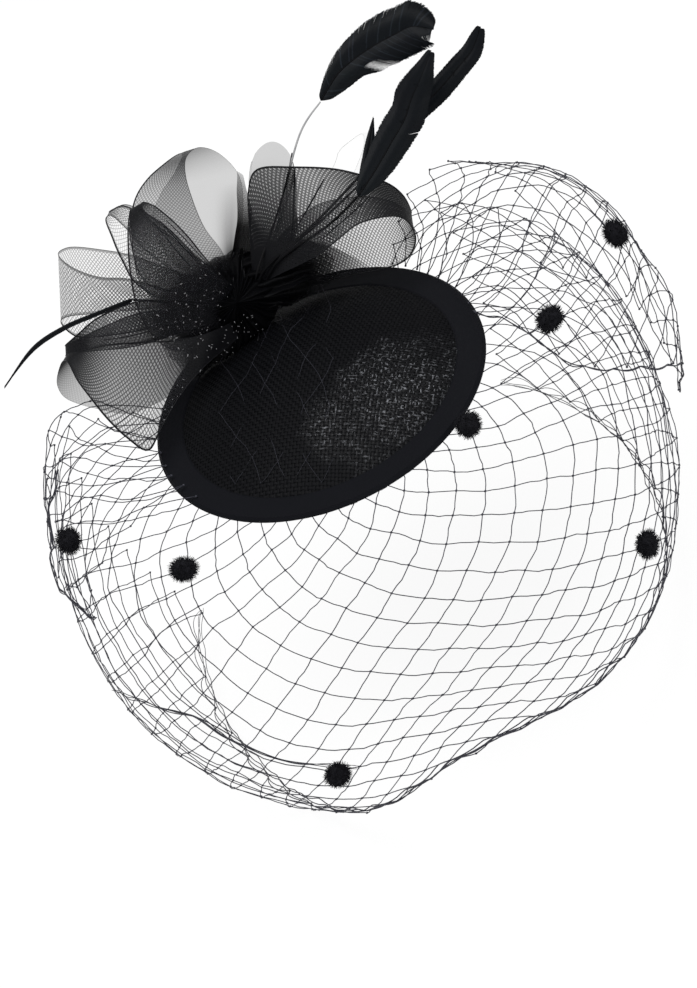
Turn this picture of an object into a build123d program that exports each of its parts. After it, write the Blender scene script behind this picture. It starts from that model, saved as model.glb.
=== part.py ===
from build123d import *
import os
from math import atan2, cos, degrees, hypot, pi, radians, sin, sqrt

# Fascinator headpiece. Millimetres. +Z is the crown's axis, -Y is the front (the face side) and +X is the
# wearer's left. The origin is the centre of the plane on which the base's rim sits against the head.

# Base
rim_radius = 65.0
crown_height = 13.0
brim_width = 11.0
sinamay_thickness = 1.4
binding_thickness = 0.7
binding_underside_width = 8.0
lining_thickness = 0.8
soft_gap = 0.3

# Net: the face veil, the puff on the wearer's left and the tuck on the wearer's right
net_thickness = 1.0
veil_radius = 119.0
veil_centre_drop = 50.0
veil_shoulder_angle = 68.0
veil_right_end = -150.0
veil_left_end = 112.0
net_bar = 4.0

# Crin loops
crin_thickness = 0.8
crin_root_width = 3.0
knot_left_of_middle = 13.0
knot_below_crown_top = 2.0
knot_radius = 10.5

# Feathers
vane_thickness = 0.7
quill_radius = 0.7

# Chenille dots
dot_radius = 5.2

# Clips
clip_length = 42.0
clip_width = 9.0
clip_sheet = 0.8
clip_depth = 3.0
clip_tail = 11.0
clip_tail_angle = 30.0
clip_offset = 24.0
clip_plane_height = 5.6
pin_radius = 0.8
pin_clearance = 0.06
pin_head = 0.5
ear_radius = 2.2
ear_gap = 0.25
tooth_count = 6
tooth_pitch = 2.2
pad_margin = 2.5
pad_corner = 3.0
spring_wire_radius = 0.3
stitch_radius = 0.35

os.makedirs("parts", exist_ok=True)


def save(shape, name):
    """Write one named piece."""
    shape.label = name
    export_step(shape, f"parts/{name}.step")


def group(solids):
    """Several separate solids as one piece."""
    return Compound(children=list(solids))


# ---------------------------------------------------------------- shapes used by several pieces


def sheet_solid(grid, thickness, openings=()):
    """A thin closed solid on one side of a smooth surface through a grid, with openings cut in it."""
    surface = Face.make_surface_from_array_of_points(grid, tol=0.1, min_deg=3, max_deg=3)
    if openings:
        surface = (surface - list(openings)).face()
    return Solid.thicken(surface, thickness)


def blend(values, place):
    """A smooth value at place, 0 to 1, through a list of evenly spaced values."""
    count = len(values) - 1
    at = min(max(place, 0.0), 1.0) * count
    index = min(int(at), count - 1)
    share = at - index
    before = values[max(index - 1, 0)]
    here = values[index]
    after = values[index + 1]
    beyond = values[min(index + 2, count)]
    slope_here = (after - before) / 2
    slope_after = (beyond - here) / 2
    square = share * share
    cube = square * share
    start = (2 * cube - 3 * square + 1) * here + (cube - 2 * square + share) * slope_here
    return start + (3 * square - 2 * cube) * after + (cube - square) * slope_after


def ring_point(azimuth, radius, height):
    """A point by its azimuth in degrees from the front towards the wearer's left."""
    turn = radians(azimuth)
    return Vector(radius * sin(turn), -radius * cos(turn), height)


# ---------------------------------------------------------------- base

brim_underside = binding_thickness
brim_top = brim_underside + sinamay_thickness
crown_radius = rim_radius - brim_width
knot_centre = Vector(knot_left_of_middle, crown_radius, crown_height - knot_below_crown_top)
wire_radius = sinamay_thickness / 2
wire_ring_radius = rim_radius - binding_thickness - wire_radius
shell_edge = wire_ring_radius - wire_radius
crown_sphere = (crown_height**2 + crown_radius**2) / (2 * crown_height)


def crown_rise(radius):
    """Height of the crown above the brim at a radius."""
    if radius >= crown_radius:
        return 0.0
    return sqrt(crown_sphere**2 - radius**2) - (crown_sphere - crown_height)


def dome_profile(outer, top, thickness):
    """Half section of a domed sheet: a crown, then a flat brim out to a radius."""
    mid = crown_radius * 0.55
    low = top - thickness
    upper = ThreePointArc((0, top + crown_height), (mid, top + crown_rise(mid)), (crown_radius, top))
    lower = ThreePointArc((crown_radius, low), (mid, low + crown_rise(mid)), (0, low + crown_height))
    lines = [
        upper,
        Line((crown_radius, top), (outer, top)),
        Line((outer, top), (outer, low)),
        Line((outer, low), (crown_radius, low)),
        lower,
        Line((0, low + crown_height), (0, top + crown_height)),
    ]
    return Plane.XZ * make_face(Wire(lines))


def make_base():
    return revolve(dome_profile(shell_edge, brim_top, sinamay_thickness), Axis.Z)


lining_edge = rim_radius - binding_underside_width
lining_top = brim_underside
lining_underside = lining_top - lining_thickness


def make_lining():
    return revolve(dome_profile(lining_edge, lining_top, lining_thickness), Axis.Z)


def make_rim_wire():
    return Pos(0, 0, brim_underside + wire_radius) * Torus(wire_ring_radius, wire_radius)


def make_binding():
    top = brim_top + binding_thickness
    inner = rim_radius - brim_width
    under = rim_radius - binding_underside_width
    corner = binding_thickness * 1.6
    pocket = rim_radius - binding_thickness
    outline = Polyline(
        (inner, brim_top),
        (inner, top - binding_thickness * 0.4),
        (inner + binding_thickness, top),
        (rim_radius - corner, top),
        (rim_radius, top - corner),
        (rim_radius, corner),
        (rim_radius - corner, 0),
        (under, 0),
        (under, brim_underside),
        (pocket, brim_underside),
        (pocket, brim_top),
        close=True,
    )
    return revolve(Plane.XZ * make_face(outline), Axis.Z)


# ---------------------------------------------------------------- net

attach_height = -1.5 * soft_gap
net_cut_reach = 5.0
net_root_share = 0.02
veil_opening_columns = 12
veil_opening_rows = 11
puff_opening_columns = 5
puff_opening_rows = 8
attach_radius = rim_radius - 5.0

# Azimuth and level of each dot on the face veil, and its place across and along the puff and the tuck
face_dots = [(7.0, 0.065), (12.0, 0.625), (-53.5, 0.68), (-79.0, 0.17)]
puff_dots = [(0.28, 0.57), (0.08, 0.34)]
tuck_dots = [(0.18, 0.59)]

# Height of the veil's lower edge, and how wide the veil hangs against a plain bubble, at evenly spaced
# azimuths from the wearer's right end to the left end
veil_edge_heights = [-116.0, -126.0, -130.0, -118.0, -87.0, -100.0, -112.0, -114.0, -110.0, -104.0]
veil_fullness = [1.0, 1.03, 1.06, 1.07, 1.03, 1.01, 0.99, 0.985, 0.985, 0.985]


def veil_place(azimuth):
    """Where an azimuth lies between the veil's right end and its left end."""
    return (azimuth - veil_right_end) / (veil_left_end - veil_right_end)


def veil_edge_angle(azimuth):
    """Angle from the bubble's top to its lower edge."""
    drop = -blend(veil_edge_heights, veil_place(azimuth)) - veil_centre_drop
    return 90 + degrees(atan2(drop, sqrt(veil_radius**2 - drop**2)))


def bubble_point(azimuth, angle, fullness):
    turn = radians(angle)
    radius = fullness * veil_radius * sin(turn)
    return ring_point(azimuth, radius, veil_radius * cos(turn) - veil_centre_drop)


def veil_point(azimuth, level):
    """A point on the face veil: level 0 is stitched under the rim and level 1 is the lower edge."""
    shoulder = 0.3
    turn = radians(veil_shoulder_angle)
    shoulder_radius = veil_radius * sin(turn)
    shoulder_height = veil_radius * cos(turn) - veil_centre_drop
    if level >= shoulder:
        share = (level - shoulder) / (1 - shoulder)
        angle = veil_shoulder_angle + share * (veil_edge_angle(azimuth) - veil_shoulder_angle)
        ease = min(2 * share, 1.0)
        spread = blend(veil_fullness, veil_place(azimuth)) - 1
        return bubble_point(azimuth, angle, 1 + spread * ease**2 * (3 - 2 * ease))
    share = level / shoulder
    middle_radius = attach_radius + 0.62 * (shoulder_radius - attach_radius)
    middle_height = attach_height + 1.5
    near = (1 - share) ** 2
    half = 2 * share * (1 - share)
    far = share**2
    radius = near * attach_radius + half * middle_radius + far * shoulder_radius
    height = near * attach_height + half * middle_height + far * shoulder_height
    return ring_point(azimuth, radius, height)


def veil_across(across, level):
    """A point on the face veil, across from its right end to its left end."""
    return veil_point(veil_right_end + (veil_left_end - veil_right_end) * across, level)


def net_openings(surface_point, columns, rows, start, seats):
    """Cutters for a staggered grid of diamonds, from start to the net's far edge, with none under a seat."""
    column_step = 1 / columns
    half_step = column_step / 2
    row_step = (1 - start) / rows
    cutters = []
    for row in range(1, rows):
        level = start + row * row_step
        for column in range(columns):
            across = (column + 0.5) * column_step + half_step * (row % 2)
            if across > 1 - 0.4 * column_step:
                continue
            centre = surface_point(across, level)
            beside = surface_point(across + half_step, level) - surface_point(across - half_step, level)
            along = surface_point(across, level + row_step) - surface_point(across, level - row_step)
            share = 1 - net_bar * sqrt(beside.length**2 + along.length**2) / (beside.length * along.length)
            half_width = beside.length * share / 2
            half_height = along.length * share / 2
            out = beside.cross(along).normalized()
            plane = Plane(origin=centre, x_dir=beside.normalized(), z_dir=out)
            seated = False
            for seat in seats:
                local = plane.to_local_coords(seat)
                reach = abs(local.X) / (half_width + dot_radius) + abs(local.Y) / (half_height + dot_radius)
                seated = seated or (reach < 1 and abs(local.Z) < half_height)
            if seated:
                continue
            corners = [(half_width, 0), (0, half_height), (-half_width, 0), (0, -half_height)]
            diamond = make_face(Polyline(*corners, close=True))
            cutters.append(extrude(plane * diamond, net_cut_reach, both=True))
    return cutters


def make_face_veil():
    columns = 19
    rows = 13
    grid = []
    for column in range(columns):
        grid.append([veil_across(column / (columns - 1), row / (rows - 1)) for row in range(rows)])
    seats = [veil_point(*place) for place in face_dots]
    openings = net_openings(veil_across, veil_opening_columns, veil_opening_rows, net_root_share, seats)
    return sheet_solid(grid, net_thickness, openings)


# Section of the puff, at its free front edge and at its back: reach beyond the rim, and height
puff_front_reach = [-1.0, 15.0, 33.0, 48.0, 59.0, 65.0, 60.0]
puff_front_heights = [3.6, 7.0, 9.0, 2.0, -12.0, -30.0, -52.0]
puff_back_reach = [-1.0, 12.0, 29.0, 47.0, 61.0, 67.0, 60.0]
puff_back_heights = [3.6, 22.0, 34.0, 30.0, 12.0, -14.0, -50.0]
puff_front_azimuths = [60.0, 43.0, 29.0, 29.0, 35.0, 43.0, 48.0]
puff_back_azimuths = [106.0, 108.0, 109.0, 107.0, 104.0, 101.0, 98.0]

# The puff stands highest in its middle and settles towards its back edge
puff_rear_heights = [3.6, 9.0, 12.0, 11.0, 0.0, -18.0, -50.0]
puff_crest = 0.45


def puff_point(across, along):
    """A point on the puff: across 0 is its free front edge, along 0 is stitched to the rim."""
    rise = sin(min(across / puff_crest, 1.0) * pi / 2)
    settle = (1 - cos(pi * max(across - puff_crest, 0.0) / (1 - puff_crest))) / 2
    reach = blend(puff_front_reach, along) * (1 - rise) + blend(puff_back_reach, along) * rise
    crest = blend(puff_back_heights, along) * (1 - settle) + blend(puff_rear_heights, along) * settle
    height = blend(puff_front_heights, along) * (1 - rise) + crest * rise
    front = blend(puff_front_azimuths, along)
    azimuth = front + across * (blend(puff_back_azimuths, along) - front)
    return ring_point(azimuth, rim_radius + reach, height)


def make_puff():
    grid = [[puff_point(column / 10, row / 12) for row in range(13)] for column in range(11)]
    seats = [puff_point(*place) for place in puff_dots]
    openings = net_openings(puff_point, puff_opening_columns, puff_opening_rows, net_root_share, seats)
    return sheet_solid(grid, net_thickness, openings)


tuck_reach = [-1.5, 13.0, 28.0, 41.0, 49.0, 54.0]
tuck_heights = [3.6, 12.0, 15.0, 9.0, -4.0, -20.0]
tuck_front_azimuth = -96.0
tuck_back_azimuth = -146.0


def tuck_point(across, along):
    """A point on the tuck: along 0 is stitched to the rim."""
    azimuth = tuck_front_azimuth + across * (tuck_back_azimuth - tuck_front_azimuth)
    lift = 0.55 + 0.45 * sin(pi * min(across * 1.4, 1.0) / 2)
    height = blend(tuck_heights, along)
    if height > tuck_heights[0]:
        height = tuck_heights[0] + (height - tuck_heights[0]) * lift
    return ring_point(azimuth, rim_radius + blend(tuck_reach, along), height)


def make_tuck():
    grid = [[tuck_point(1 - column / 8, row / 10) for row in range(11)] for column in range(9)]
    return sheet_solid(grid, net_thickness)


# ---------------------------------------------------------------- crin loops


def base_envelope(clearance):
    """The room that the base takes up, with a clearance over it, for pieces that sit on top."""
    raised = dome_profile(rim_radius + clearance, brim_top + binding_thickness + clearance, crown_height)
    return revolve(raised, Axis.Z)


def make_knot():
    ball = Pos(*knot_centre) * Sphere(knot_radius)
    return ball - base_envelope(0.1)


# Each loop: its tip from the knot's centre, how far it is turned about its own length, its ribbon's width and
# half its opening
crin_loops = [
    ("crin_loop_tall", Vector(22, 16, 59), 30, 30, 11),
    ("crin_loop_front", Vector(-7, 0, 63), -5, 24, 6),
    ("crin_loop_behind", Vector(-11, 46, 43), 0, 22, 6),
    ("crin_loop_right", Vector(-40, 36, 45), 20, 28, 9),
    ("crin_loop_right_fold", Vector(-62, 12, 38), 0, 16, 4),
    ("crin_loop_low", Vector(-77, -2, 17), 15, 28, 8),
    ("crin_loop_small", Vector(48, 5, 44), 0, 16, 6),
    ("crin_loop_left", Vector(56, -52, 19), 0, 30, 8),
    ("crin_loop_left_behind", Vector(74, -5, 23), 0, 16, 5),
]
view_side = Vector(-0.34, -0.67, 0.66)
loop_along = [0.0, 0.3, 0.64, 0.9, 1.0, 0.9, 0.64, 0.3, 0.0]
loop_apart = [0.14, 0.46, 0.88, 0.84, 0.0, -0.84, -0.88, -0.46, -0.14]
loop_spread_places = [0.0, 0.3, 0.64, 1.02]
loop_spread = [0.0, 0.4, 0.85, 1.0]


def loop_line(length, opening, side, steps=16):
    """One edge of the ribbon's section: its middle line moved half a thickness to one side."""
    shift = side * crin_thickness / 2
    line = []
    for step in range(steps + 1):
        place = step / steps
        before = max(place - 0.01, 0.0)
        after = min(place + 0.01, 1.0)
        run_x = length * (blend(loop_along, after) - blend(loop_along, before))
        run_y = opening * (blend(loop_apart, after) - blend(loop_apart, before))
        run = hypot(run_x, run_y)
        x = length * blend(loop_along, place) + shift * run_y / run
        y = opening * blend(loop_apart, place) - shift * run_x / run
        line.append((x, y))
    return line


def make_loop(tip, turn, width, opening):
    """A ribbon that leaves the knot, opens out, rounds its tip and comes back to the knot."""
    out = tip.normalized()
    facing = view_side.rotate(Axis((0, 0, 0), out), turn)
    across = out.cross(facing).normalized()
    start = knot_centre + out * (knot_radius + soft_gap)
    length = tip.length - knot_radius - soft_gap
    outer = loop_line(length, opening, -1)
    inner = loop_line(length, opening, 1)
    edges = [Spline(outer), Line(outer[-1], inner[-1]), Spline(inner[::-1]), Line(inner[0], outer[0])]
    band = extrude(make_face(Wire(edges)), width / 2, both=True)
    halves = [(crin_root_width + (width - crin_root_width) * spread) / 2 for spread in loop_spread]
    stations = [length * place for place in loop_spread_places]
    one_side = list(zip(stations, halves))
    other_side = [(x, -half) for x, half in reversed(one_side)]
    fan = Plane.XZ * make_face(Polyline(*one_side, *other_side, close=True))
    shaped = band & extrude(fan, 2 * opening, both=True)
    return Plane(origin=start, x_dir=out, z_dir=across) * shaped


# ---------------------------------------------------------------- feathers

# Bare quills, from the knot's centre: each runs from the binding by the knot to the foot of its vane
quill_routes = {
    "curled_quill": [(4, -10.5, 9), (8, -14, 19), (29, -14, 34), (51, -12, 50), (63.5, -15, 56.7)],
    "long_quill": [(5.5, -12.5, 7), (13, -21, 21), (32, -36, 29), (44.5, -41.8, 33.8)],
    "side_quill": [
        (5.8, -10.6, 6.5), (15, -17.2, 18.5), (37, -25.6, 25.6), (59, -30.6, 30.8), (74.5, -34.9, 34.8),
    ],
    "spike_quill": [(3.6, -12.6, 8), (9.5, -16.5, 19), (32, -30, 28), (52.4, -33.8, 30.6)],
    "trailing_quill": [(-5, -9.5, 7), (-13, -9, 19), (-35, 3, 37)],
}

# Vanes: the spine's points from the knot's centre, and the half widths on each side of it
vanes = {
    "curled_vane": (
        [(64, -15, 57), (74, -17, 62), (82, -20, 64), (89, -25, 66), (96, -30, 67), (101, -35, 68),
         (104, -42, 66)],
        [1.0, 7.5, 9.5, 10.0, 9.5, 8.0, 2.0],
        [1.0, 6.0, 8.0, 9.0, 9.0, 7.5, 2.0],
    ),
    "long_vane": (
        [(45, -42, 34), (56, -43, 38), (67, -44, 43), (75, -45, 47), (82, -45, 52), (89, -46, 57),
         (97, -46, 62)],
        [1.0, 5.0, 7.0, 7.0, 6.5, 5.5, 1.0],
        [1.0, 5.0, 7.0, 7.5, 6.5, 5.0, 1.0],
    ),
    "side_vane": (
        [(75, -35, 35), (85, -37, 39), (95, -42, 43), (105, -45, 46.5), (113, -47, 49.5), (120, -48, 55)],
        [1.0, 4.5, 5.0, 5.0, 4.5, 1.0],
        [1.0, 4.5, 5.0, 5.0, 4.0, 1.0],
    ),
    "spike_vane": (
        [(53, -34, 31), (61, -32, 35), (67, -30, 39), (74, -27, 43)],
        [1.0, 2.0, 1.6, 0.6],
        [1.0, 2.0, 1.6, 0.6],
    ),
    "trailing_vane": (
        [(-35.2, 3.2, 37.2), (-48, 8, 40), (-61, 12, 43), (-74, 17, 42), (-90, 19, 37)],
        [0.8, 1.6, 1.8, 1.6, 0.5],
        [0.8, 1.6, 1.8, 1.6, 0.5],
    ),
}


def make_quill(points):
    """A round quill along straight runs joined by arcs."""
    corners = [knot_centre + Vector(*point) for point in points]
    arcs = []
    for before, here, after in zip(corners, corners[1:], corners[2:]):
        shorter = min((here - before).length, (after - here).length)
        turn = radians((here - before).get_angle(after - here))
        arcs.append(0.42 * shorter / max(sin(turn / 2) / cos(turn / 2), 0.05))
    path = FilletPolyline(*corners, radius=arcs)
    section = Plane(origin=path @ 0, z_dir=path % 0) * Circle(quill_radius)
    return sweep(section, path)


def make_vane(spine, left_half, right_half):
    """A flat-bladed vane that faces the same way as the loops do."""
    points = [knot_centre + Vector(*point) for point in spine]
    grid = []
    last = len(points) - 1
    for index, point in enumerate(points):
        run = (points[min(index + 1, last)] - points[max(index - 1, 0)]).normalized()
        across = run.cross(view_side).normalized()
        left = point - across * left_half[index]
        right = point + across * right_half[index]
        grid.append([left, (left + point) * 0.5, point, (right + point) * 0.5, right])
    return sheet_solid(grid, vane_thickness)


binding_ring_place = (5.0, -11.6, 8.3)
binding_ring_radius = 3.2
binding_ring_width = 5.0
binding_ring_wall = 0.6


def make_feather_binding():
    """The thread wound round the quills' lower ends."""
    low = knot_centre + Vector(*binding_ring_place)
    way = Vector(0.45, -0.35, 0.95).normalized()
    plane = Plane(origin=low, z_dir=way)
    tube = Cylinder(binding_ring_radius + binding_ring_wall, binding_ring_width)
    tube -= Cylinder(binding_ring_radius, binding_ring_width)
    return plane * tube


# ---------------------------------------------------------------- chenille dots


def outward(surface_point, place):
    """The direction that faces away from the wearer, square to the net at a place on it."""
    first, second = place
    step = 0.01
    run_one = surface_point(first + step, second) - surface_point(first - step, second)
    run_two = surface_point(first, second + step) - surface_point(first, second - step)
    square = run_one.cross(run_two).normalized()
    bubble_centre = Vector(0, 0, -veil_centre_drop)
    if square.dot(surface_point(first, second) - bubble_centre) < 0:
        square = -square
    return square


def make_dots():
    reach = dot_radius + soft_gap
    dots = []
    dotted = ((veil_point, face_dots), (puff_point, puff_dots), (tuck_point, tuck_dots))
    for surface_point, places in dotted:
        for place in places:
            centre = surface_point(*place) + outward(surface_point, place) * reach
            dots.append(Pos(*centre) * Sphere(dot_radius))
    return group(dots)


# ---------------------------------------------------------------- clips, in their own frame:
# the pin's axis is Y through the origin, the tip points to +X and the base is towards +Z

clip_tip = clip_length - clip_tail
clip_half = clip_width / 2
fixed_underside = clip_depth
pivot_height = clip_plane_height - clip_sheet - clip_depth
moving_half = clip_half - clip_sheet - ear_gap
jaw_floor = ear_radius + 0.2
jaw_gap = 1.4
bend_start = 3.0
bend_run = 5.0
tail_drop = radians(clip_tail_angle)


def cross_pin(radius, length):
    """A cylinder along the pin's axis."""
    return Rot(90, 0, 0) * Cylinder(radius, length)


def make_ears(half, sheet, root_height, hole):
    """Two ears, half apart to their outer faces, from the pin to a plate at root_height."""
    middle = half - sheet / 2
    ears = Part()
    for side in (-1, 1):
        lobe = cross_pin(ear_radius, sheet)
        web = Pos(0, 0, root_height / 2) * Box(2 * ear_radius, sheet, abs(root_height))
        ears += Pos(0, side * middle, 0) * (lobe + web)
    return ears - cross_pin(hole, 4 * half)


def make_fixed_jaw():
    plate = Pos(clip_tip / 2 - clip_tail / 2, 0, fixed_underside + clip_sheet / 2)
    jaw = plate * Box(clip_length, clip_width, clip_sheet)
    corners = jaw.edges().filter_by(Axis.Z)
    jaw = fillet(corners, clip_width * 0.3)
    return jaw + make_ears(clip_half, clip_sheet, fixed_underside, pin_radius)


def make_moving_jaw():
    blade_top = fixed_underside - jaw_gap
    tail_x = -1.5 - clip_tail * cos(tail_drop)
    tail_z = -jaw_floor - clip_tail * sin(tail_drop)
    thick = clip_sheet
    outline = Polyline(
        (-1.5, -jaw_floor),
        (bend_start, -jaw_floor),
        (bend_start + bend_run, blade_top),
        (clip_tip, blade_top),
        (clip_tip, blade_top - thick),
        (bend_start + bend_run + thick * 0.4, blade_top - thick),
        (bend_start + thick * 0.4, -jaw_floor - thick),
        (-1.5 - thick * 0.2, -jaw_floor - thick),
        (tail_x + thick * 0.2, tail_z - thick),
        (tail_x, tail_z),
        close=True,
    )
    blade = extrude(Plane.XZ * make_face(outline), moving_half, both=True)
    teeth = Part()
    for index in range(tooth_count):
        start = clip_tip - tooth_pitch * (index + 1)
        ridge = Polyline(
            (start, blade_top - 0.2),
            (start + tooth_pitch / 2, fixed_underside - 0.1),
            (start + tooth_pitch * 0.95, blade_top - 0.2),
            close=True,
        )
        teeth += extrude(Plane.XZ * make_face(ridge), moving_half, both=True)
    ears = make_ears(moving_half, clip_sheet, -jaw_floor - clip_sheet / 2, pin_radius + pin_clearance)
    return blade + teeth + ears


def make_pin():
    pin = cross_pin(pin_radius, clip_width)
    head_place = clip_half + pin_head / 2
    for side in (-1, 1):
        pin += Pos(0, side * head_place, 0) * cross_pin(pin_radius * 1.5, pin_head)
    return pin


def rod(start, end, radius):
    """A straight round wire between two points."""
    run = Vector(*end) - Vector(*start)
    plane = Plane(origin=Vector(*start) + run * 0.5, z_dir=run.normalized())
    return plane * Cylinder(radius, run.length)


def make_spring():
    coil_outer = jaw_floor - clip_sheet * 0.4 - 0.5
    coil_inner = pin_radius + 0.15
    coil_half = moving_half - clip_sheet - 0.3
    coil = cross_pin(coil_outer, 2 * coil_half) - cross_pin(coil_inner, 3 * coil_half)
    leg_side = coil_half - spring_wire_radius
    wire = spring_wire_radius
    middle = (coil_outer + coil_inner) / 2
    fixed_end = (-clip_tail * 0.8, leg_side, fixed_underside - wire - 0.05)
    upper = rod((0, leg_side, middle), fixed_end, wire)
    rest = wire + 0.1
    lower_end = (
        -1.5 - clip_tail * 0.75 * cos(tail_drop) - rest * sin(tail_drop),
        -leg_side,
        -jaw_floor - clip_tail * 0.75 * sin(tail_drop) + rest * cos(tail_drop),
    )
    lower = rod((-middle * 0.6, -leg_side, -middle * 0.7), lower_end, wire)
    return coil + upper + lower


def make_stitches_on_clip():
    """Two thread loops that hold the fixed jaw against its pad."""
    thread = 2 * stitch_radius
    reach = clip_half + stitch_radius
    height = thread + clip_sheet
    loops = []
    for place in (-clip_tail + 1.0, 11.0):
        bar = Pos(place, 0, fixed_underside - stitch_radius) * Box(thread, 2 * reach + thread, thread)
        for side in (-1, 1):
            leg = Box(thread, thread, height)
            bar += Pos(place, side * reach, fixed_underside - thread + height / 2) * leg
        loops.append(bar)
    return loops


def dome_cavity():
    """The hollow under the lining."""
    solid = revolve(dome_profile(lining_edge, lining_underside, crown_height), Axis.Z)
    floor = Pos(0, 0, -crown_height / 2) * Box(3 * rim_radius, 3 * rim_radius, crown_height)
    return solid - floor


def make_pad(place):
    """A felt pad between a clip and the lining: flat below, domed above."""
    length = clip_length + 2 * pad_margin
    width = clip_width + 2 * pad_margin
    centre = (clip_tip - clip_tail) / 2
    underside = Plane.XY.offset(fixed_underside + clip_sheet)
    outline = underside * Pos(centre, 0) * RectangleRounded(length, width, pad_corner)
    prism = extrude(outline, crown_height)
    return (place * prism) & dome_cavity()


clip_shift = (clip_tip - clip_tail) / 2
clip_places = {
    "front": Pos(-clip_shift, -clip_offset, pivot_height),
    "back": Pos(clip_shift, clip_offset, pivot_height) * Rot(0, 0, 180),
}


# ---------------------------------------------------------------- stitches along the veil

veil_stitch_step = 11.0


def make_veil_stitches():
    """Short threads that catch the veil under the rim."""
    count = int((veil_left_end - veil_right_end) / veil_stitch_step)
    threads = []
    for index in range(count):
        azimuth = veil_right_end + veil_stitch_step * (index + 0.5)
        height = attach_height - net_thickness - stitch_radius
        start = ring_point(azimuth - 1.2, attach_radius + 1.5, height)
        end = ring_point(azimuth + 1.2, attach_radius + 1.5, height)
        threads.append(rod(start, end, stitch_radius))
    return threads


# ---------------------------------------------------------------- build

save(make_base(), "sinamay_base")
save(make_lining(), "base_lining")
save(make_rim_wire(), "rim_wire")
save(make_binding(), "edge_binding")
save(make_face_veil(), "face_veil")
save(make_puff(), "veil_puff")
save(make_tuck(), "veil_tuck")
save(group(make_veil_stitches()), "veil_stitches")
save(make_dots(), "chenille_dots")
save(make_knot(), "crin_centre_wrap")
for name, tip, turn, width, opening in crin_loops:
    save(make_loop(tip, turn, width, opening), name)
for name, points in quill_routes.items():
    save(make_quill(points), name)
for name, (spine, left_half, right_half) in vanes.items():
    save(make_vane(spine, left_half, right_half), name)
save(make_feather_binding(), "feather_binding")
for name, place in clip_places.items():
    save(make_pad(place), f"{name}_clip_pad")
    save(place * make_fixed_jaw(), f"{name}_clip_fixed_jaw")
    save(place * make_moving_jaw(), f"{name}_clip_moving_jaw")
    save(place * make_pin(), f"{name}_clip_pin")
    save(place * make_spring(), f"{name}_clip_spring")
    save(group([place * thread for thread in make_stitches_on_clip()]), f"{name}_clip_stitches")
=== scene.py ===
"""Fascinator headpiece: the finished look, built round the fixed frame."""

import random
from math import atan2, cos, degrees, exp, hypot, pi, radians, sin, sqrt

import bpy
from mathutils import Matrix, Vector, noise


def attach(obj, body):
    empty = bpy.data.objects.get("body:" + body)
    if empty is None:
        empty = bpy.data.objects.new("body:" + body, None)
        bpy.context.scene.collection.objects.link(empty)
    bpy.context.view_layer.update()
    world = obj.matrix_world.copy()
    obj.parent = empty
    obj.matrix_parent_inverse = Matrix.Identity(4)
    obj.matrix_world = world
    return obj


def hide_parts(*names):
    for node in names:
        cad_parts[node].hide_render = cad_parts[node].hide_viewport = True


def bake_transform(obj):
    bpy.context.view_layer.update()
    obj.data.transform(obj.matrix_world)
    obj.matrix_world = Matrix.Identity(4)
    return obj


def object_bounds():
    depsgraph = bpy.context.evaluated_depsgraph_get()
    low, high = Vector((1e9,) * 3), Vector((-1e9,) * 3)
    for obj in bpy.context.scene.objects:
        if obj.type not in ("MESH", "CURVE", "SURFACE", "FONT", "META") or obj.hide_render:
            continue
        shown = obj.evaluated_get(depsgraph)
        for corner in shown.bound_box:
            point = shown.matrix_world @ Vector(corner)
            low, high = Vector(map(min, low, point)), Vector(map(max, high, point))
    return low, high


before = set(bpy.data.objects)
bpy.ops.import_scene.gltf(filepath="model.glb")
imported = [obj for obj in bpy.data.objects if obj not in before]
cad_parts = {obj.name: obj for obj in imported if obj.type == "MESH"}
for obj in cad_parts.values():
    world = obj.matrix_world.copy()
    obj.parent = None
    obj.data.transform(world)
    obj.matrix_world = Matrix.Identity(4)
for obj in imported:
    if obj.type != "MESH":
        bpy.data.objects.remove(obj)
cad_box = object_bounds()

bl_info = {
    "name": "Fascinator headpiece",
    "version": (1, 0, 0),
    "blender": (4, 5, 0),
    "location": "View3D > Sidebar > Fascinator",
    "description": "Builds a net-veiled fascinator piece by piece",
    "category": "Add Mesh",
}

MM = 0.001
BODY = "headpiece"

# ------------------------------------------------------------------ the view

# the camera that the pieces are laid out in, with sizes in dots and distances in mm
FRAME_WIDTH = 697.0
FRAME_HEIGHT = 988.0
BASE_CENTRE_X = 321.0
BASE_CENTRE_Y = 393.5
VIEW_AZIMUTH = radians(27.0)
VIEW_ELEVATION = radians(41.0)
VIEW_ROLL = radians(27.7)
VIEW_DISTANCE = 1200.0
DOTS_PER_MM = 2.7


def view_axes():
    """The camera's right, up and backward directions in the part's own frame."""
    level = Vector((cos(VIEW_AZIMUTH), -sin(VIEW_AZIMUTH), 0))
    back = Vector((
        -sin(VIEW_AZIMUTH) * cos(VIEW_ELEVATION),
        -cos(VIEW_AZIMUTH) * cos(VIEW_ELEVATION),
        sin(VIEW_ELEVATION),
    ))
    rise = back.cross(level)
    right = cos(VIEW_ROLL) * level - sin(VIEW_ROLL) * rise
    up = sin(VIEW_ROLL) * level + cos(VIEW_ROLL) * rise
    return right, up, back


RIGHT, UP, BACK = view_axes()
EYE = (
    BACK * VIEW_DISTANCE
    + RIGHT * ((FRAME_WIDTH / 2 - BASE_CENTRE_X) / DOTS_PER_MM)
    + UP * ((BASE_CENTRE_Y - FRAME_HEIGHT / 2) / DOTS_PER_MM)
)
FOCAL_DOTS = DOTS_PER_MM * VIEW_DISTANCE


def framed(place):
    """A point in mm, from its column and row in the camera's frame and how near it comes in mm."""
    column, row, near = place
    depth = VIEW_DISTANCE - near
    side = (column - FRAME_WIDTH / 2) / FOCAL_DOTS * depth
    rise = (FRAME_HEIGHT / 2 - row) / FOCAL_DOTS * depth
    return EYE + RIGHT * side + UP * rise - BACK * depth


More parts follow.
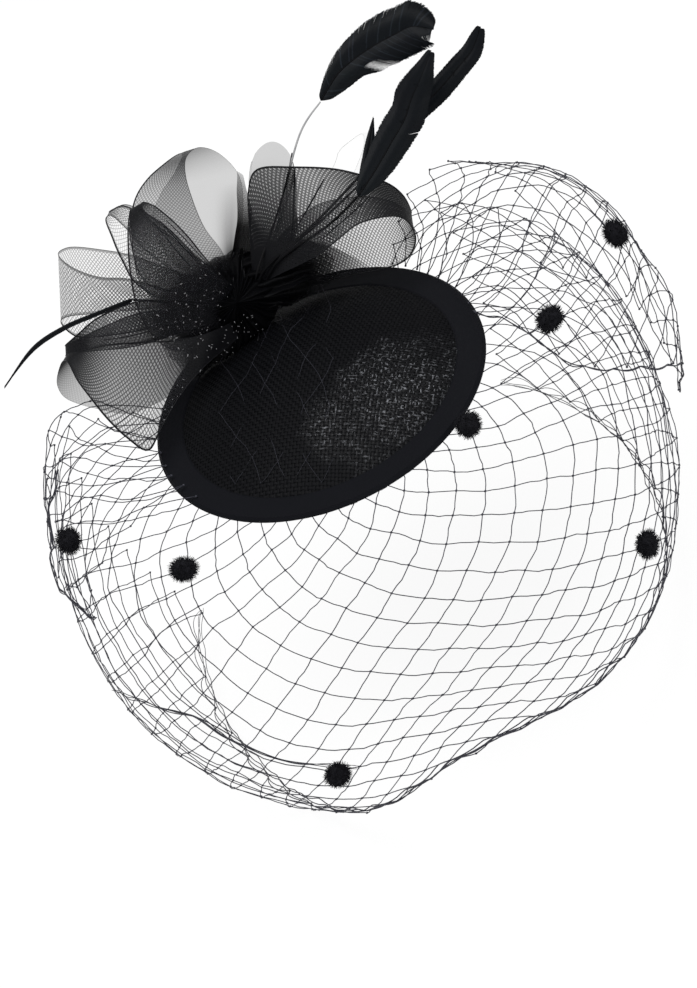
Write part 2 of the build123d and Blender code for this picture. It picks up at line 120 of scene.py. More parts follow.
# ------------------------------------------------------------------ curves and meshes


def clamp(value):
    return min(max(value, 0.0), 1.0)


def smooth_at(points, place):
    """A point on the smooth curve through points, place 0 to 1."""
    count = len(points) - 1
    at = clamp(place) * count
    index = min(int(at), count - 1)
    share = at - index
    before = points[max(index - 1, 0)]
    here = points[index]
    after = points[index + 1]
    beyond = points[min(index + 2, count)]
    square = share * share
    cube = square * share
    near = (2 * cube - 3 * square + 1) * here + (3 * square - 2 * cube) * after
    near = near + (cube - 2 * square + share) * (after - before) * 0.5
    return near + (cube - square) * (beyond - here) * 0.5


def smooth_line(points, per_span):
    count = (len(points) - 1) * per_span
    return [smooth_at(points, index / count) for index in range(count + 1)]


def run_length(points):
    return sum((after - before).length for before, after in zip(points, points[1:]))


def swelling(low, power=1.0):
    """A width factor along a line: low at both ends and 1 in the middle."""
    return lambda share: low + (1 - low) * sin(share * pi) ** power


def thinning(loss):
    """A width factor along a line: 1 at its start, and less by loss at its end."""
    return lambda share: 1 - loss * share


class Shape:
    """Gathers the points and faces of one piece, in mm."""

    def __init__(self):
        self.points = []
        self.faces = []
        self.marks = []

    def add(self, points, faces, mark=0):
        start = len(self.points)
        self.points.extend(points)
        self.faces.extend([tuple(corner + start for corner in face) for face in faces])
        self.marks.extend([mark] * len(faces))

    def tube(self, line, radius, sides=4, taper=None, mark=0):
        """A round wire along a line; taper gives its width factor at 0 to 1."""
        rings = []
        last = len(line) - 1
        side = None
        for index, point in enumerate(line):
            run = (line[min(index + 1, last)] - line[max(index - 1, 0)]).normalized()
            if side is None:
                side = run.orthogonal().normalized()
            side = (side - run * side.dot(run)).normalized()
            other = run.cross(side)
            wide = radius * (taper(index / last) if taper else 1.0)
            for step in range(sides):
                turn = 2 * pi * step / sides
                rings.append(point + side * (cos(turn) * wide) + other * (sin(turn) * wide))
        faces = []
        for index in range(last):
            for step in range(sides):
                low = index * sides + step
                high = index * sides + (step + 1) % sides
                faces.append((low, high, high + sides, low + sides))
        faces.append(tuple(range(sides))[::-1])
        faces.append(tuple(last * sides + step for step in range(sides)))
        self.add(rings, faces, mark)

    def grid(self, rows, mark=0):
        """A sheet through rows of points."""
        width = len(rows[0])
        faces = []
        for row in range(len(rows) - 1):
            for column in range(width - 1):
                low = row * width + column
                faces.append((low, low + 1, low + width + 1, low + width))
        self.add([point for row in rows for point in row], faces, mark)
        return self

    def lump(self, centre, radius):
        """A small six-cornered knot."""
        ways = ((1, 0, 0), (-1, 0, 0), (0, 1, 0), (0, -1, 0), (0, 0, 1), (0, 0, -1))
        faces = [(0, 2, 4), (2, 1, 4), (1, 3, 4), (3, 0, 4), (2, 0, 5), (1, 2, 5), (3, 1, 5), (0, 3, 5)]
        self.add([centre + Vector(way) * radius for way in ways], faces)

    def build(self, name, looks):
        mesh = bpy.data.meshes.new(name)
        mesh.from_pydata([point * MM for point in self.points], [], self.faces)
        for look in looks:
            mesh.materials.append(finish(look))
        mesh.polygons.foreach_set("material_index", self.marks)
        mesh.polygons.foreach_set("use_smooth", [True] * len(self.faces))
        mesh.update()
        piece = bpy.data.objects.new(name, mesh)
        bpy.context.scene.collection.objects.link(piece)
        return piece


def make_piece(shape, name, looks, slot, *nodes):
    """Build a shape as a piece that rides on the headpiece and stands for its nodes; slot is not used."""
    piece = shape.build(name, looks)
    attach(piece, BODY)
    if nodes:
        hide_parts(*nodes)
    return piece


# ------------------------------------------------------------------ finishes


def operation(name):
    """The methods for an operator and for its reflected form, each of which adds a Math node."""
    plain = lambda self, other: self.sum(name, self, other)
    reflected = lambda self, other: self.sum(name, other, self)
    return plain, reflected


class Value:
    """A shader value that takes part in Python expressions."""

    def __init__(self, nodes, socket):
        self.nodes = nodes
        self.socket = socket

    def sum(self, name, first, second=0.0):
        return self.nodes.node("ShaderNodeMath", {"operation": name}, {0: first, 1: second})

    __add__, __radd__ = operation("ADD")
    __sub__, __rsub__ = operation("SUBTRACT")
    __mul__, __rmul__ = operation("MULTIPLY")
    __truediv__, __rtruediv__ = operation("DIVIDE")
    __lt__, __gt__ = operation("LESS_THAN")

    def most(self, other):
        return self.sum("MAXIMUM", self, other)

    def least(self, other):
        return self.sum("MINIMUM", self, other)

    def clamped(self):
        return self.most(0.0).least(1.0)

    def wave(self, pitch):
        """A sine that repeats every pitch."""
        return self.sum("SINE", self * (2 * pi / pitch))


class Nodes:
    """A node tree round one shader."""

    def __init__(self, tree, shader):
        self.tree = tree
        self.shader = tree.nodes[shader]

    def node(self, kind, settings=None, values=None, output=0):
        made = self.tree.nodes.new(kind)
        for key, value in (settings or {}).items():
            setattr(made, key, value)
        for key, value in (values or {}).items():
            self.feed(made.inputs[key], value)
        return Value(self, made.outputs[output])

    def feed(self, socket, value):
        if isinstance(value, Value):
            self.tree.links.new(value.socket, socket)
        else:
            socket.default_value = value

    def drive(self, name, value):
        self.feed(self.shader.inputs[name], value)

    def mix(self, factor, first, second):
        """A colour between two others, each mixed before or given as red, green and blue."""
        ends = [end if isinstance(end, Value) else (*end, 1.0) for end in (first, second)]
        return self.node("ShaderNodeMix", {"data_type": "RGBA"}, {0: factor, 6: ends[0], 7: ends[1]}, 2)

    def paint(self, factor, first, second):
        self.drive("Base Color", self.mix(factor, first, second))

    def place(self):
        return self.node("ShaderNodeTexCoord", None, None, "Object")

    def split(self, vector):
        parts = self.node("ShaderNodeSeparateXYZ", None, {0: vector})
        return [Value(self, socket) for socket in parts.socket.node.outputs]

    def laid(self, name):
        """The two numbers of a named UV map."""
        return self.split(self.node("ShaderNodeUVMap", {"uv_map": name}))[:2]

    def noise(self, vector, scale, detail=2.0, roughness=0.5):
        values = {"Vector": vector, "Scale": scale, "Detail": detail, "Roughness": roughness}
        return self.node("ShaderNodeTexNoise", None, values)

    def straight_rays(self):
        """One for what is seen directly, in a gloss or through something clear."""
        rays = self.node("ShaderNodeLightPath").socket.node.outputs
        kinds = ("Is Camera Ray", "Is Glossy Ray", "Is Transmission Ray")
        camera, gloss, clear = (Value(self, rays[kind]) for kind in kinds)
        return camera.most(gloss).most(clear)

    def bump(self, height, distance, strength):
        values = {"Height": height, "Distance": distance, "Strength": strength}
        self.drive("Normal", self.node("ShaderNodeBump", None, values))


class Finish(Nodes):
    """One material with its shader; sheen is the strength of its reflections."""

    def __init__(self, name, sheen=None):
        self.material = bpy.data.materials.new(name)
        self.material.use_nodes = True
        super().__init__(self.material.node_tree, "Principled BSDF")
        if sheen is not None:
            self.drive("Specular IOR Level", sheen)


def shade(tone, *parts):
    return tuple(tone * part for part in parts)


def grain_look(made, scale, dark, light, rough, spread, detail=2.0):
    """A finish with a fine grain in its colour, and in its gloss where spread isn't zero."""
    grain = made.noise(made.place(), scale, detail)
    made.paint(grain, dark, light)
    made.drive("Roughness", rough + grain * spread if spread else rough)


def strand_look(made, tone):
    """Single threads of the ribbon: its cords, and the strays at the knot."""
    grain_look(made, 800.0, shade(tone, 0.2, 0.21, 0.27), shade(tone, 1, 1, 1.15), 0.15, 0.2)


CRIN_PITCH = 1.0  # mm between the threads of the ribbon
CRIN_HEM = 0.9  # mm of dense edge


def crin_look(made, tone):
    """Woven monofilament ribbon: two crossing sets of threads, closer and with painted shade where gathered, and dense
    edges.
    """
    along, across = made.laid("weave")
    margin, level = made.laid("gather")
    film, cover = made.laid("film")
    first = (along + across).wave(CRIN_PITCH * sqrt(2))
    second = (along - across).wave(CRIN_PITCH * sqrt(2))
    threads = ((first.most(second) - level) * 2.0 + 0.5).clamped()
    edge = (margin < CRIN_HEM) * (1 - film)
    made.drive("Alpha", (threads * (1 - film) + cover * film).most(edge * 0.8))
    grain = made.noise(made.place(), 350.0)
    # painted shade: the colour is darkest where the threads cover most, as in the gathers near the knot
    unshaded_where_open = ((level + 0.35) * 1.6).clamped()
    made.paint(grain * (1 - edge) * unshaded_where_open, shade(tone, 0.5, 0.52, 0.65), shade(tone, 2.4, 2.45, 2.8))
    made.drive("Roughness", 0.35 + grain * 0.25)


def vane_look(made, tone):
    """The barbs of a feather, black with a painted blue and green sheen."""
    place = made.place()
    patch = made.noise(place, 60.0)
    fine = made.noise(place, 1400.0)
    # painted sheen: patches of blue and green in the colour stand in for the feather's iridescence
    painted_sheen = made.mix(patch, shade(tone, 0.9, 0.9, 1.5), shade(tone, 1.3, 2.1, 2.3))
    made.paint(fine * 0.4, painted_sheen, shade(tone, 3, 3.3, 4.6))
    made.drive("Roughness", 0.28 + fine * 0.25)


# below this height the pale quill is painted dark: painted shade inside the ribbon
QUILL_BARE_FROM = 0.052  # m: the height where the pale quill leaves the ribbon
QUILL_BARE_OVER = 0.006


def quill_look(made):
    """Dark with painted shade where it sits in the ribbon, clear and pale above."""
    place = made.place()
    grain = made.noise(place, 500.0)
    height = made.split(place)[2]
    unshaded = ((height - QUILL_BARE_FROM) / QUILL_BARE_OVER + (grain - 0.5)).clamped()
    pale = made.mix(grain, (0.20, 0.20, 0.21), (0.38, 0.38, 0.38))
    made.paint(unshaded, (0.0018, 0.0018, 0.0022), pale)
    made.drive("Roughness", 0.3 + grain * 0.2)


GLINT_PLACE = (0.004, 0.036)  # m: how far right and forward the dome's shine lies, and its half widths
GLINT_REACH = (0.036, 0.024)


def straw_look(made):
    """The strands of the woven dome: dark, with painted glints that run along the threads in a patch at the front."""
    made.drive("Coat Roughness", 0.22)
    place = made.place()
    fine = made.noise(place, 1200.0, 3.0)
    patch = made.noise(place, 60.0, 3.0)
    x, y, _ = made.split(place)
    along = x * cos(WEAVE_ANGLE) + y * sin(WEAVE_ANGLE)
    across = y * cos(WEAVE_ANGLE) - x * sin(WEAVE_ANGLE)
    first, second = (
        made.noise(made.node("ShaderNodeCombineXYZ", None, {0: one, 1: other, 2: layer}), 1500.0)
        for one, other, layer in ((along * 0.25, across, 0.0), (along, across * 0.25, 0.3)))
    wide = (x - GLINT_PLACE[0]) / GLINT_REACH[0]
    deep = (y + GLINT_PLACE[1]) / GLINT_REACH[1]
    # the patch at the front of the dome that gets the painted glints
    front = ((1.0 - wide * wide - deep * deep) * 0.5 + (patch - 0.5) * 1.3).clamped()
    # painted glints: pale dashes along the threads in that patch
    painted_dome_glint = (first.most(second) * 8.0 - 4.8).clamped() * front
    made.paint(painted_dome_glint, (0.0024, 0.0025, 0.0032), (0.30, 0.31, 0.335))
    made.drive("Coat Weight", front * 0.2)
    made.drive("Roughness", 0.35 + patch * 0.3)
    made.bump(fine, 0.00008, 0.5)


def backing_look(made):
    """The plain weave under the dome's strands."""
    x, y, _ = made.split(made.place())
    weave = (x.wave(0.0007) + y.wave(0.0007)) * 0.25 + 0.5
    made.paint(weave, (0.002, 0.0021, 0.0025), (0.006, 0.0062, 0.0075))
    made.drive("Roughness", 0.6 + weave * 0.2)
    made.bump(weave, 0.0001, 0.6)


def binding_look(made):
    """Matte bias tape: a fine diagonal twill with a soft bloom."""
    place = made.place()
    x, y, _ = made.split(place)
    twill = (x + y).wave(0.00055) * 0.5 + 0.5
    cloud = made.noise(place, 70.0, 3.0)
    dark = made.mix(cloud, (0.0028, 0.0030, 0.0041), (0.0048, 0.0051, 0.0067))
    made.paint(twill * 0.35, dark, (0.0078, 0.0081, 0.0104))
    made.drive("Roughness", 0.5 + cloud * 0.2)
    made.bump(twill * 0.6 + cloud * 2.0, 0.00015, 0.5)


def felt_look(made):
    place = made.place()
    fibre = made.noise(place, 1600.0, 4.0, 0.7)
    cloud = made.noise(place, 120.0)
    made.paint(fibre * 0.7 + cloud * 0.3, (0.005, 0.005, 0.006), (0.02, 0.02, 0.023))
    made.drive("Roughness", 0.85 + cloud * 0.1)
    made.bump(fibre, 0.0002, 0.6)


def metal_look(made):
    """Steel brushed across the clips."""
    made.drive("Metallic", 1.0)
    place = made.place()
    x, y, z = made.split(place)
    brushed = made.noise(made.node("ShaderNodeCombineXYZ", None, {0: x * 0.08, 1: y, 2: z}), 2600.0)
    cloud = made.noise(place, 160.0)
    made.paint(cloud, (0.40, 0.40, 0.42), (0.56, 0.56, 0.57))
    made.drive("Roughness", 0.24 + brushed * 0.2 + cloud * 0.1)
    made.bump(brushed, 0.00004, 0.4)


def thread_look(made):
    x, y, z = made.split(made.place())
    twist = (x + y + z).wave(0.0005) * 0.5 + 0.5
    made.paint(twist, (0.006, 0.006, 0.008), (0.03, 0.03, 0.035))
    made.drive("Roughness", 0.5 + twist * 0.2)
    made.bump(twist, 0.0001, 0.5)


# each finish by its short name: the material's name, its sheen, its look and what else the look takes
FINISHES = {
    # pale bits where the monofilament catches the light: painted highlights
    "glint": ("crin_glint", 0.5, grain_look, 300.0, (0.06, 0.06, 0.065), (0.5, 0.5, 0.52), 0.2, 0.2),
    "net": ("veil_net", 0.15, grain_look, 900.0, (0.020, 0.020, 0.027), (0.050, 0.051, 0.064), 0.6, 0, 3.0),
    "crin": ("crin_ribbon", 0.08, crin_look, 0.007),
    # a darker copy of the ribbon for the knot, its pleats and folds: painted shade
    "gathered": ("crin_gathered", 0.03, crin_look, 0.003),
    "vane": ("feather_vane", 0.05, vane_look, 0.0022),
    # a paler copy of the vane for its streaks: painted sheen
    "vane_sheen_streak": ("feather_streak", 0.05, vane_look, 0.006),
    "quill": ("feather_quill", 0.1, quill_look),
    "dark_quill": (
        "dark_quill", 0.03, grain_look, 500.0, (0.0016, 0.0016, 0.0019), (0.0042, 0.0042, 0.0048), 0.3, 0.25),
    "chenille": (
        "chenille", 0.08, grain_look, 700.0, (0.003, 0.003, 0.004), (0.012, 0.012, 0.015), 0.75, 0.2),
    "straw": ("sinamay_strand", 0.04, straw_look),
    "backing": ("sinamay_backing", 0.08, backing_look),
    "binding": ("binding_tape", 0.03, binding_look),
    "felt": ("lining_felt", 0.08, felt_look),
    "metal": ("clip_steel", None, metal_look),
    "thread": ("sewing_thread", 0.2, thread_look),
    "stray": ("crin_stray", 0.25, strand_look, 0.02),
    "cord": ("crin_cord", 0.06, strand_look, 0.013),
}
made_finishes = {}


def finish(name):
    """The material of a finish, made once."""
    if name not in made_finishes:
        full_name, sheen, look, *details = FINISHES[name]
        made = Finish(full_name, sheen)
        look(made, *details)
        made_finishes[name] = made.material
    return made_finishes[name]


def dress(nodes):
    """Give carried-over nodes their finishes."""
    for node, look in nodes.items():
        piece = bpy.data.objects[node]
        if not piece.material_slots:
            piece.data.materials.append(finish(look))
        for slot in piece.material_slots:
            slot.material = finish(look)


# ------------------------------------------------------------------ the headpiece's own surfaces, in mm

RIM_RADIUS = 65.0
CROWN_RADIUS = 54.0
CROWN_HEIGHT = 13.0
BRIM_TOP = 2.1
WEAVE_ANGLE = radians(32.0)
CROWN_SPHERE = (CROWN_HEIGHT ** 2 + CROWN_RADIUS ** 2) / (2 * CROWN_HEIGHT)
ATTACH_RADIUS = 60.0
ATTACH_HEIGHT = -0.45
VEIL_RADIUS = 119.0
VEIL_DROP = 50.0
SHOULDER = 68.0
VEIL_RIGHT_END = -150.0
VEIL_LEFT_END = 112.0
VEIL_EDGE_HEIGHTS = [-116, -126, -130, -118, -87, -100, -112, -114, -110, -104]
VEIL_FULLNESS = [1, 1.03, 1.06, 1.07, 1.03, 1.01, 0.99, 0.985, 0.985, 0.985]
# radii, heights and azimuths of the puff outwards along its front edge and along its crest
PUFF_FRONT = (
    [64, 80, 98, 113, 124, 130, 125], [3.6, 7, 9, 2, -12, -30, -52], [60, 43, 29, 29, 35, 43, 48])
PUFF_BACK = (
    [64, 77, 94, 112, 126, 132, 125], [3.6, 22, 34, 30, 12, -14, -50], [106, 108, 109, 107, 104, 101, 98])
PUFF_REAR_HEIGHTS = [3.6, 9, 12, 11, 0, -18, -50]
PUFF_CREST = 0.45
TUCK = ([63.5, 78, 93, 106, 114, 119], [3.6, 12, 15, 9, -4, -20])
TUCK_START = -96.0
TUCK_TURN = -50.0
SHOULDER_LEVEL = 0.3  # of the face veil: 0 under the rim, 1 at its lower edge
VEIL_BEND_OUT = 0.62  # of the way to its shoulder, where the veil bends first
VEIL_BEND_RISE = 1.5
KNOT_CENTRE = Vector((13.0, 54.0, 11.0))
FRAME_SEARCH = 90.0  # mm before and behind the base's middle
FRAME_HALVINGS = 24
DOME_CLEARANCE = 1.0  # mm between the dome and the threads over it


def crown_height(radius):
    """How far the dome stands over the brim at a radius."""
    return sqrt(CROWN_SPHERE ** 2 - min(radius, CROWN_RADIUS) ** 2) - (CROWN_SPHERE - CROWN_HEIGHT)


def dome_top(point):
    """The height of the dome, or of the brim round it, under a point."""
    return BRIM_TOP + crown_height(hypot(point.x, point.y))


def ring_point(azimuth, radius, height):
    turn = radians(azimuth)
    return Vector((radius * sin(turn), -radius * cos(turn), height))


def on_crown(column, row, lift):
    """The place on the dome, or on the brim round it, that shows at a column and row of the frame."""
    behind, before = -FRAME_SEARCH, FRAME_SEARCH
    for _ in range(FRAME_HALVINGS):
        near = (behind + before) / 2
        point = framed((column, row, near))
        if point.z > dome_top(point) + lift:
            before = near
        else:
            behind = near
    return point


def bubble_point(azimuth, polar, fullness=1.0):
    turn = radians(polar)
    return ring_point(azimuth, fullness * VEIL_RADIUS * sin(turn), VEIL_RADIUS * cos(turn) - VEIL_DROP)


def veil_place(azimuth):
    return (azimuth - VEIL_RIGHT_END) / (VEIL_LEFT_END - VEIL_RIGHT_END)


def veil_edge_angle(azimuth):
    drop = -smooth_at(VEIL_EDGE_HEIGHTS, veil_place(azimuth)) - VEIL_DROP
    return 90 + degrees(atan2(drop, sqrt(VEIL_RADIUS ** 2 - drop ** 2)))


def veil_point(azimuth, level):
    """The face veil: from under the rim at level 0, over its shoulder, to its lower edge at 1."""
    if level >= SHOULDER_LEVEL:
        share = (level - SHOULDER_LEVEL) / (1 - SHOULDER_LEVEL)
        ease = min(2 * share, 1.0)
        spread = smooth_at(VEIL_FULLNESS, veil_place(azimuth)) - 1
        polar = SHOULDER + share * (veil_edge_angle(azimuth) - SHOULDER)
        return bubble_point(azimuth, polar, 1 + spread * ease ** 2 * (3 - 2 * ease))
    share = level / SHOULDER_LEVEL
    start = ring_point(azimuth, ATTACH_RADIUS, ATTACH_HEIGHT)
    end = bubble_point(azimuth, SHOULDER)
    reach = hypot(end.x, end.y)
    bend = ring_point(azimuth, ATTACH_RADIUS + VEIL_BEND_OUT * (reach - ATTACH_RADIUS), ATTACH_HEIGHT + VEIL_BEND_RISE)
    return start * (1 - share) ** 2 + bend * (2 * share * (1 - share)) + end * share ** 2


def puff_point(across, along):
    """The raised second layer on the wearer's left: across from front edge to back, along outwards."""
    rise = sin(min(across / PUFF_CREST, 1) * pi / 2)
    settled = (1 - cos(pi * max(across - PUFF_CREST, 0) / (1 - PUFF_CREST))) / 2
    front = [smooth_at(values, along) for values in PUFF_FRONT]
    back = [smooth_at(values, along) for values in PUFF_BACK]
    crest = back[1] + settled * (smooth_at(PUFF_REAR_HEIGHTS, along) - back[1])
    radius = front[0] + rise * (back[0] - front[0])
    height = front[1] + rise * (crest - front[1])
    return ring_point(front[2] + across * (back[2] - front[2]), radius, height)


def tuck_point(across, along):
    """The bunched layer on the wearer's right."""
    lift = 0.55 + 0.45 * sin(pi * min(across * 1.4, 1) / 2)
    radius, height = (smooth_at(values, along) for values in TUCK)
    return ring_point(TUCK_START + across * TUCK_TURN, radius, 3.6 + (height - 3.6) * lift)


# ------------------------------------------------------------------ sizes and colours to change


class FascinatorSizes(bpy.types.PropertyGroup):
    """Sizes of the made pieces."""

    net_strand: bpy.props.FloatProperty(
        name="Net strand", description="Thickness of one strand of the veil",
        default=0.00044, unit="LENGTH")
    net_side: bpy.props.FloatProperty(
        name="Net cell side", description="Length of one side of a cell of the veil",
        default=0.011, unit="LENGTH")
    weave_pitch: bpy.props.FloatProperty(
        name="Sinamay pitch", description="Distance between the threads of the dome",
        default=0.0014, unit="LENGTH")
    barb_spacing: bpy.props.FloatProperty(
        name="Barb spacing", description="Distance between the barbs of a feather",
        default=0.00024, unit="LENGTH")
    dot_fibres: bpy.props.IntProperty(
        name="Dot fibres", description="Number of fibres on each chenille dot", default=950)


class FascinatorColours(bpy.types.PropertyGroup):
    """Colours of the finishes."""

    floor: bpy.props.FloatVectorProperty(
        name="Floor", description="Colour of the floor", subtype="COLOR", size=3, default=(0.93, 0.93, 0.93))


def sizes():
    return bpy.context.scene.fascinator_sizes


def colours():
    return bpy.context.scene.fascinator_colours


NOISE_SEED = 5
noise.seed_set(NOISE_SEED)


# how uneven each thing is: the seed of its small offsets, mm from one swell to the next, and mm of reach
UNEVENNESS = {
    "face_net": (1, 14.0, 1.3), "puff_net": (2, 14.0, 1.0), "tuck_net": (3, 14.0, 1.2),
    "crown_net": (4, 14.0, 3.0), "sway": (5, 6.0, 0.9), "face_edge": (11, 20.0, 1.1),
    "cheek_band": (15, 16.0, 1.6), "rim_gathers": (21, 9.0, 0.9), "puff": (31, 26.0, 2.2),
    "puff_edge": (33, 8.0, 0.7), "tuck": (41, 18.0, 2.0), "tuck_edge": (43, 9.0, 1.1),
    "loop": (51, 17.0, 0.9), "fold": (57, 9.0, 0.9), "gather": (62, 4.0, 1.2), "pleats": (63, 8.0, 1.8),
}


def uneven(name, point, share=1.0, strand=0):
    """A smooth small offset, the same in every run."""
    seed, step, reach = UNEVENNESS[name]
    seed += strand
    return noise.noise_vector(point / step + Vector((seed * 7.3, seed * 3.1, seed * 5.7))) * (reach * share)


def wandered(line, name, strand):
    """A line with each of its points moved a little."""
    return [point + uneven(name, point, strand=strand) for point in line]


def any_way(chance):
    """A random direction, of no set length."""
    return Vector((chance.gauss(0, 1), chance.gauss(0, 1), chance.gauss(0, 1)))


# ------------------------------------------------------------------ the veil


KNOT_RADIUS = 0.6
FLATTEST_CELL = 0.86  # the most that half a cell's width may be of its side
LEVEL_STEP = 0.002


class Net:
    """A knotted diamond net over a surface, built strand by strand."""

    def __init__(self, surface, columns, name, rows=None):
        self.surface = surface
        self.columns = columns
        self.rows = rows or row_levels(surface, columns)
        self.name = name
        self.knots = {}

    def knot(self, half_column, row):
        key = (half_column, row)
        if key not in self.knots:
            point = self.surface(half_column / (2.0 * self.columns), self.rows[row])
            self.knots[key] = point + uneven(self.name, point)
        return self.knots[key]

    def strands(self):
        """Every strand as a list of its knots."""
        last = len(self.rows) - 1
        found = []
        for way in (1, -1):
            for start in range(-last, 2 * self.columns + last + 1):
                run = []
                for row in range(last + 1):
                    column = start + way * row
                    if 0 <= column <= 2 * self.columns and (column + row) % 2 == 0:
                        run.append(self.knot(column, row))
                if len(run) > 1:
                    found.append(run)
        return found

    def weave(self, shape, radius, knot_radius=KNOT_RADIUS):
        seed = UNEVENNESS[self.name][0]
        for run in self.strands():
            line = smooth_line(run, 4)
            for index, point in enumerate(line):
                sway = sin(index % 4 / 4 * pi)
                line[index] = point + uneven("sway", point, sway, seed)
            shape.tube(line, radius, 3)
        for _, point in sorted(self.knots.items()):
            shape.lump(point, knot_radius)


def strand_radius():
    return sizes().net_strand / 2 / MM


def row_levels(surface, columns):
    """Levels of a net's rows, so that a cell's sides keep their length as the net widens."""
    side = sizes().net_side / MM
    levels = [0.0]
    while levels[-1] < 1.0:
        here = surface(0.5, levels[-1])
        beside = surface(0.5 + 0.5 / columns, levels[-1])
        half_width = min((beside - here).length, side * FLATTEST_CELL)
        climb = sqrt(side ** 2 - half_width ** 2)
        ahead = surface(0.5, levels[-1] + LEVEL_STEP)
        levels.append(levels[-1] + climb / ((ahead - here).length / LEVEL_STEP))
    scale = 1.0 / levels[-1]
    return [level * scale for level in levels]


def lay_strands(shape, line, name, strands, thickness, taper=None):
    """Strands side by side along a line, each wandering in its own way."""
    for strand in strands:
        shape.tube(wandered(line, name, strand), strand_radius() * thickness, 3, taper)


FACE_COLUMNS = 29
GATHER_HEIGHT = 1.2
GATHER_WAVES = 260
DRAWN_IN, DRAWN_UP = 60, 55  # mm of the lower edge for each level beyond 1
TUCK_FOLD = 2.4
EDGE_STRANDS = 4
RIM_STRANDS = 2
# the second drawn-in band over the wearer's right cheek, as azimuths and levels of the face veil
HEM_PLACES = [
    (-105, 0.59), (-94, 0.52), (-83, 0.50), (-77, 0.50), (-71, 0.54), (-66, 0.58), (-60, 0.63), (-51, 0.73)]
PUFF_COLUMNS = 9
TUCK_COLUMNS = 7
# the faint net that lies over the dome: its columns and rows, and what it covers of the frame
CROWN_COLUMNS = 4
CROWN_ROWS = 9
CROWN_LEFT, CROWN_WIDE = 224, 108
CROWN_TOP, CROWN_TALL = 262, 222
CROWN_LIFT = 0.9
CROWN_STRAND = 0.36  # of the thickness of the veil's strands
CROWN_KNOT_RADIUS = 0.16


def face_surface(across, level):
    """The face veil with its gathers at the rim, and drawn in beyond level 1."""
    point = veil_point(VEIL_RIGHT_END + across * (VEIL_LEFT_END - VEIL_RIGHT_END), min(level, 1.0))
    gather = max(0.0, 1 - level / SHOULDER_LEVEL)
    point.z += gather * GATHER_HEIGHT * sin(across * GATHER_WAVES) * min(level * 12, 1)
    if level > 1.0:
        point += Vector((-point.x, -point.y, 0)).normalized() * (level - 1) * DRAWN_IN
        point.z += (level - 1) * DRAWN_UP
    return point


def puff_surface(across, along):
    point = puff_point(clamp(across), min(along, 1.0))
    return point + uneven("puff", point, min(along * 2, 1))


def tuck_surface(across, along):
    point = tuck_point(clamp(across), min(along, 1.0))
    fold = sin(across * 22 + along * 3) * TUCK_FOLD * min(along * 3, 1)
    return point + Vector((0, 0, fold)) + uneven("tuck", point)


def crown_surface(across, level):
    return on_crown(CROWN_LEFT + CROWN_WIDE * across, CROWN_TOP + CROWN_TALL * level, CROWN_LIFT)


class FASCINATOR_OT_face_veil(bpy.types.Operator):
    """Make the face veil: a knotted net from under the rim to its drawn-in lower edge"""

    bl_idname = "fascinator.face_veil"
    bl_label = "Face veil"

    def execute(self, context):
        shape = Shape()
        Net(face_surface, FACE_COLUMNS, "face_net").weave(shape, strand_radius())
        count = 4 * FACE_COLUMNS
        for strand in range(EDGE_STRANDS):
            line = []
            for index in range(count + 1):
                bob = abs(sin((index / count * FACE_COLUMNS + 0.25 * strand) * pi))
                line.append(face_surface(index / count, 0.995 + 0.012 * strand - 0.015 * bob))
            line = smooth_line(wandered(line, "face_edge", strand), 2)
            shape.tube(line, strand_radius() * 1.2, 3, swelling(0.4, 0.5))
        hem = smooth_line([veil_point(*place) for place in HEM_PLACES], 24)
        lay_strands(shape, hem, "cheek_band", range(3), 1.15, swelling(0.3, 0.5))
        count = 6 * FACE_COLUMNS
        for strand in range(RIM_STRANDS):
            line = [face_surface(index / count, 0.004 + 0.008 * strand) for index in range(count + 1)]
            lay_strands(shape, line, "rim_gathers", [strand], 1.3)
        make_piece(shape, "face_veil_net", ["net"], "veil_net", "face_veil")
        return {"FINISHED"}


class FASCINATOR_OT_veil_layers(bpy.types.Operator):
    """Make the raised puff on the wearer's left, the bunched tuck on the right and the net on the dome"""

    bl_idname = "fascinator.veil_layers"
    bl_label = "Veil layers"

    def execute(self, context):
        shape = Shape()
        net = Net(puff_surface, PUFF_COLUMNS, "puff_net")
        net.weave(shape, strand_radius())
        count = len(net.rows) * 4
        scallop = []
        for index in range(count + 1):
            bob = abs(sin(index * pi / 8)) * 1.6
            scallop.append(puff_surface(0.0, index / count) + Vector((0, 0, -bob)))
        lay_strands(shape, scallop, "puff_edge", range(2), 1.2)
        make_piece(shape, "veil_puff_net", ["net"], "veil_net", "veil_puff")

        shape = Shape()
        Net(tuck_surface, TUCK_COLUMNS, "tuck_net").weave(shape, strand_radius())
        edge = [tuck_surface(1.0 - index / 40.0, 1.0) for index in range(41)]
        lay_strands(shape, edge, "tuck_edge", range(3), 1.2)
        make_piece(shape, "veil_tuck_net", ["net"], "veil_net", "veil_tuck")

        shape = Shape()
        rows = [index / CROWN_ROWS for index in range(CROWN_ROWS + 1)]
        net = Net(crown_surface, CROWN_COLUMNS, "crown_net", rows)
        net.weave(shape, strand_radius() * CROWN_STRAND, CROWN_KNOT_RADIUS)
        make_piece(shape, "crown_net", ["net"], "veil_net")
        return {"FINISHED"}


# ------------------------------------------------------------------ the crin loops


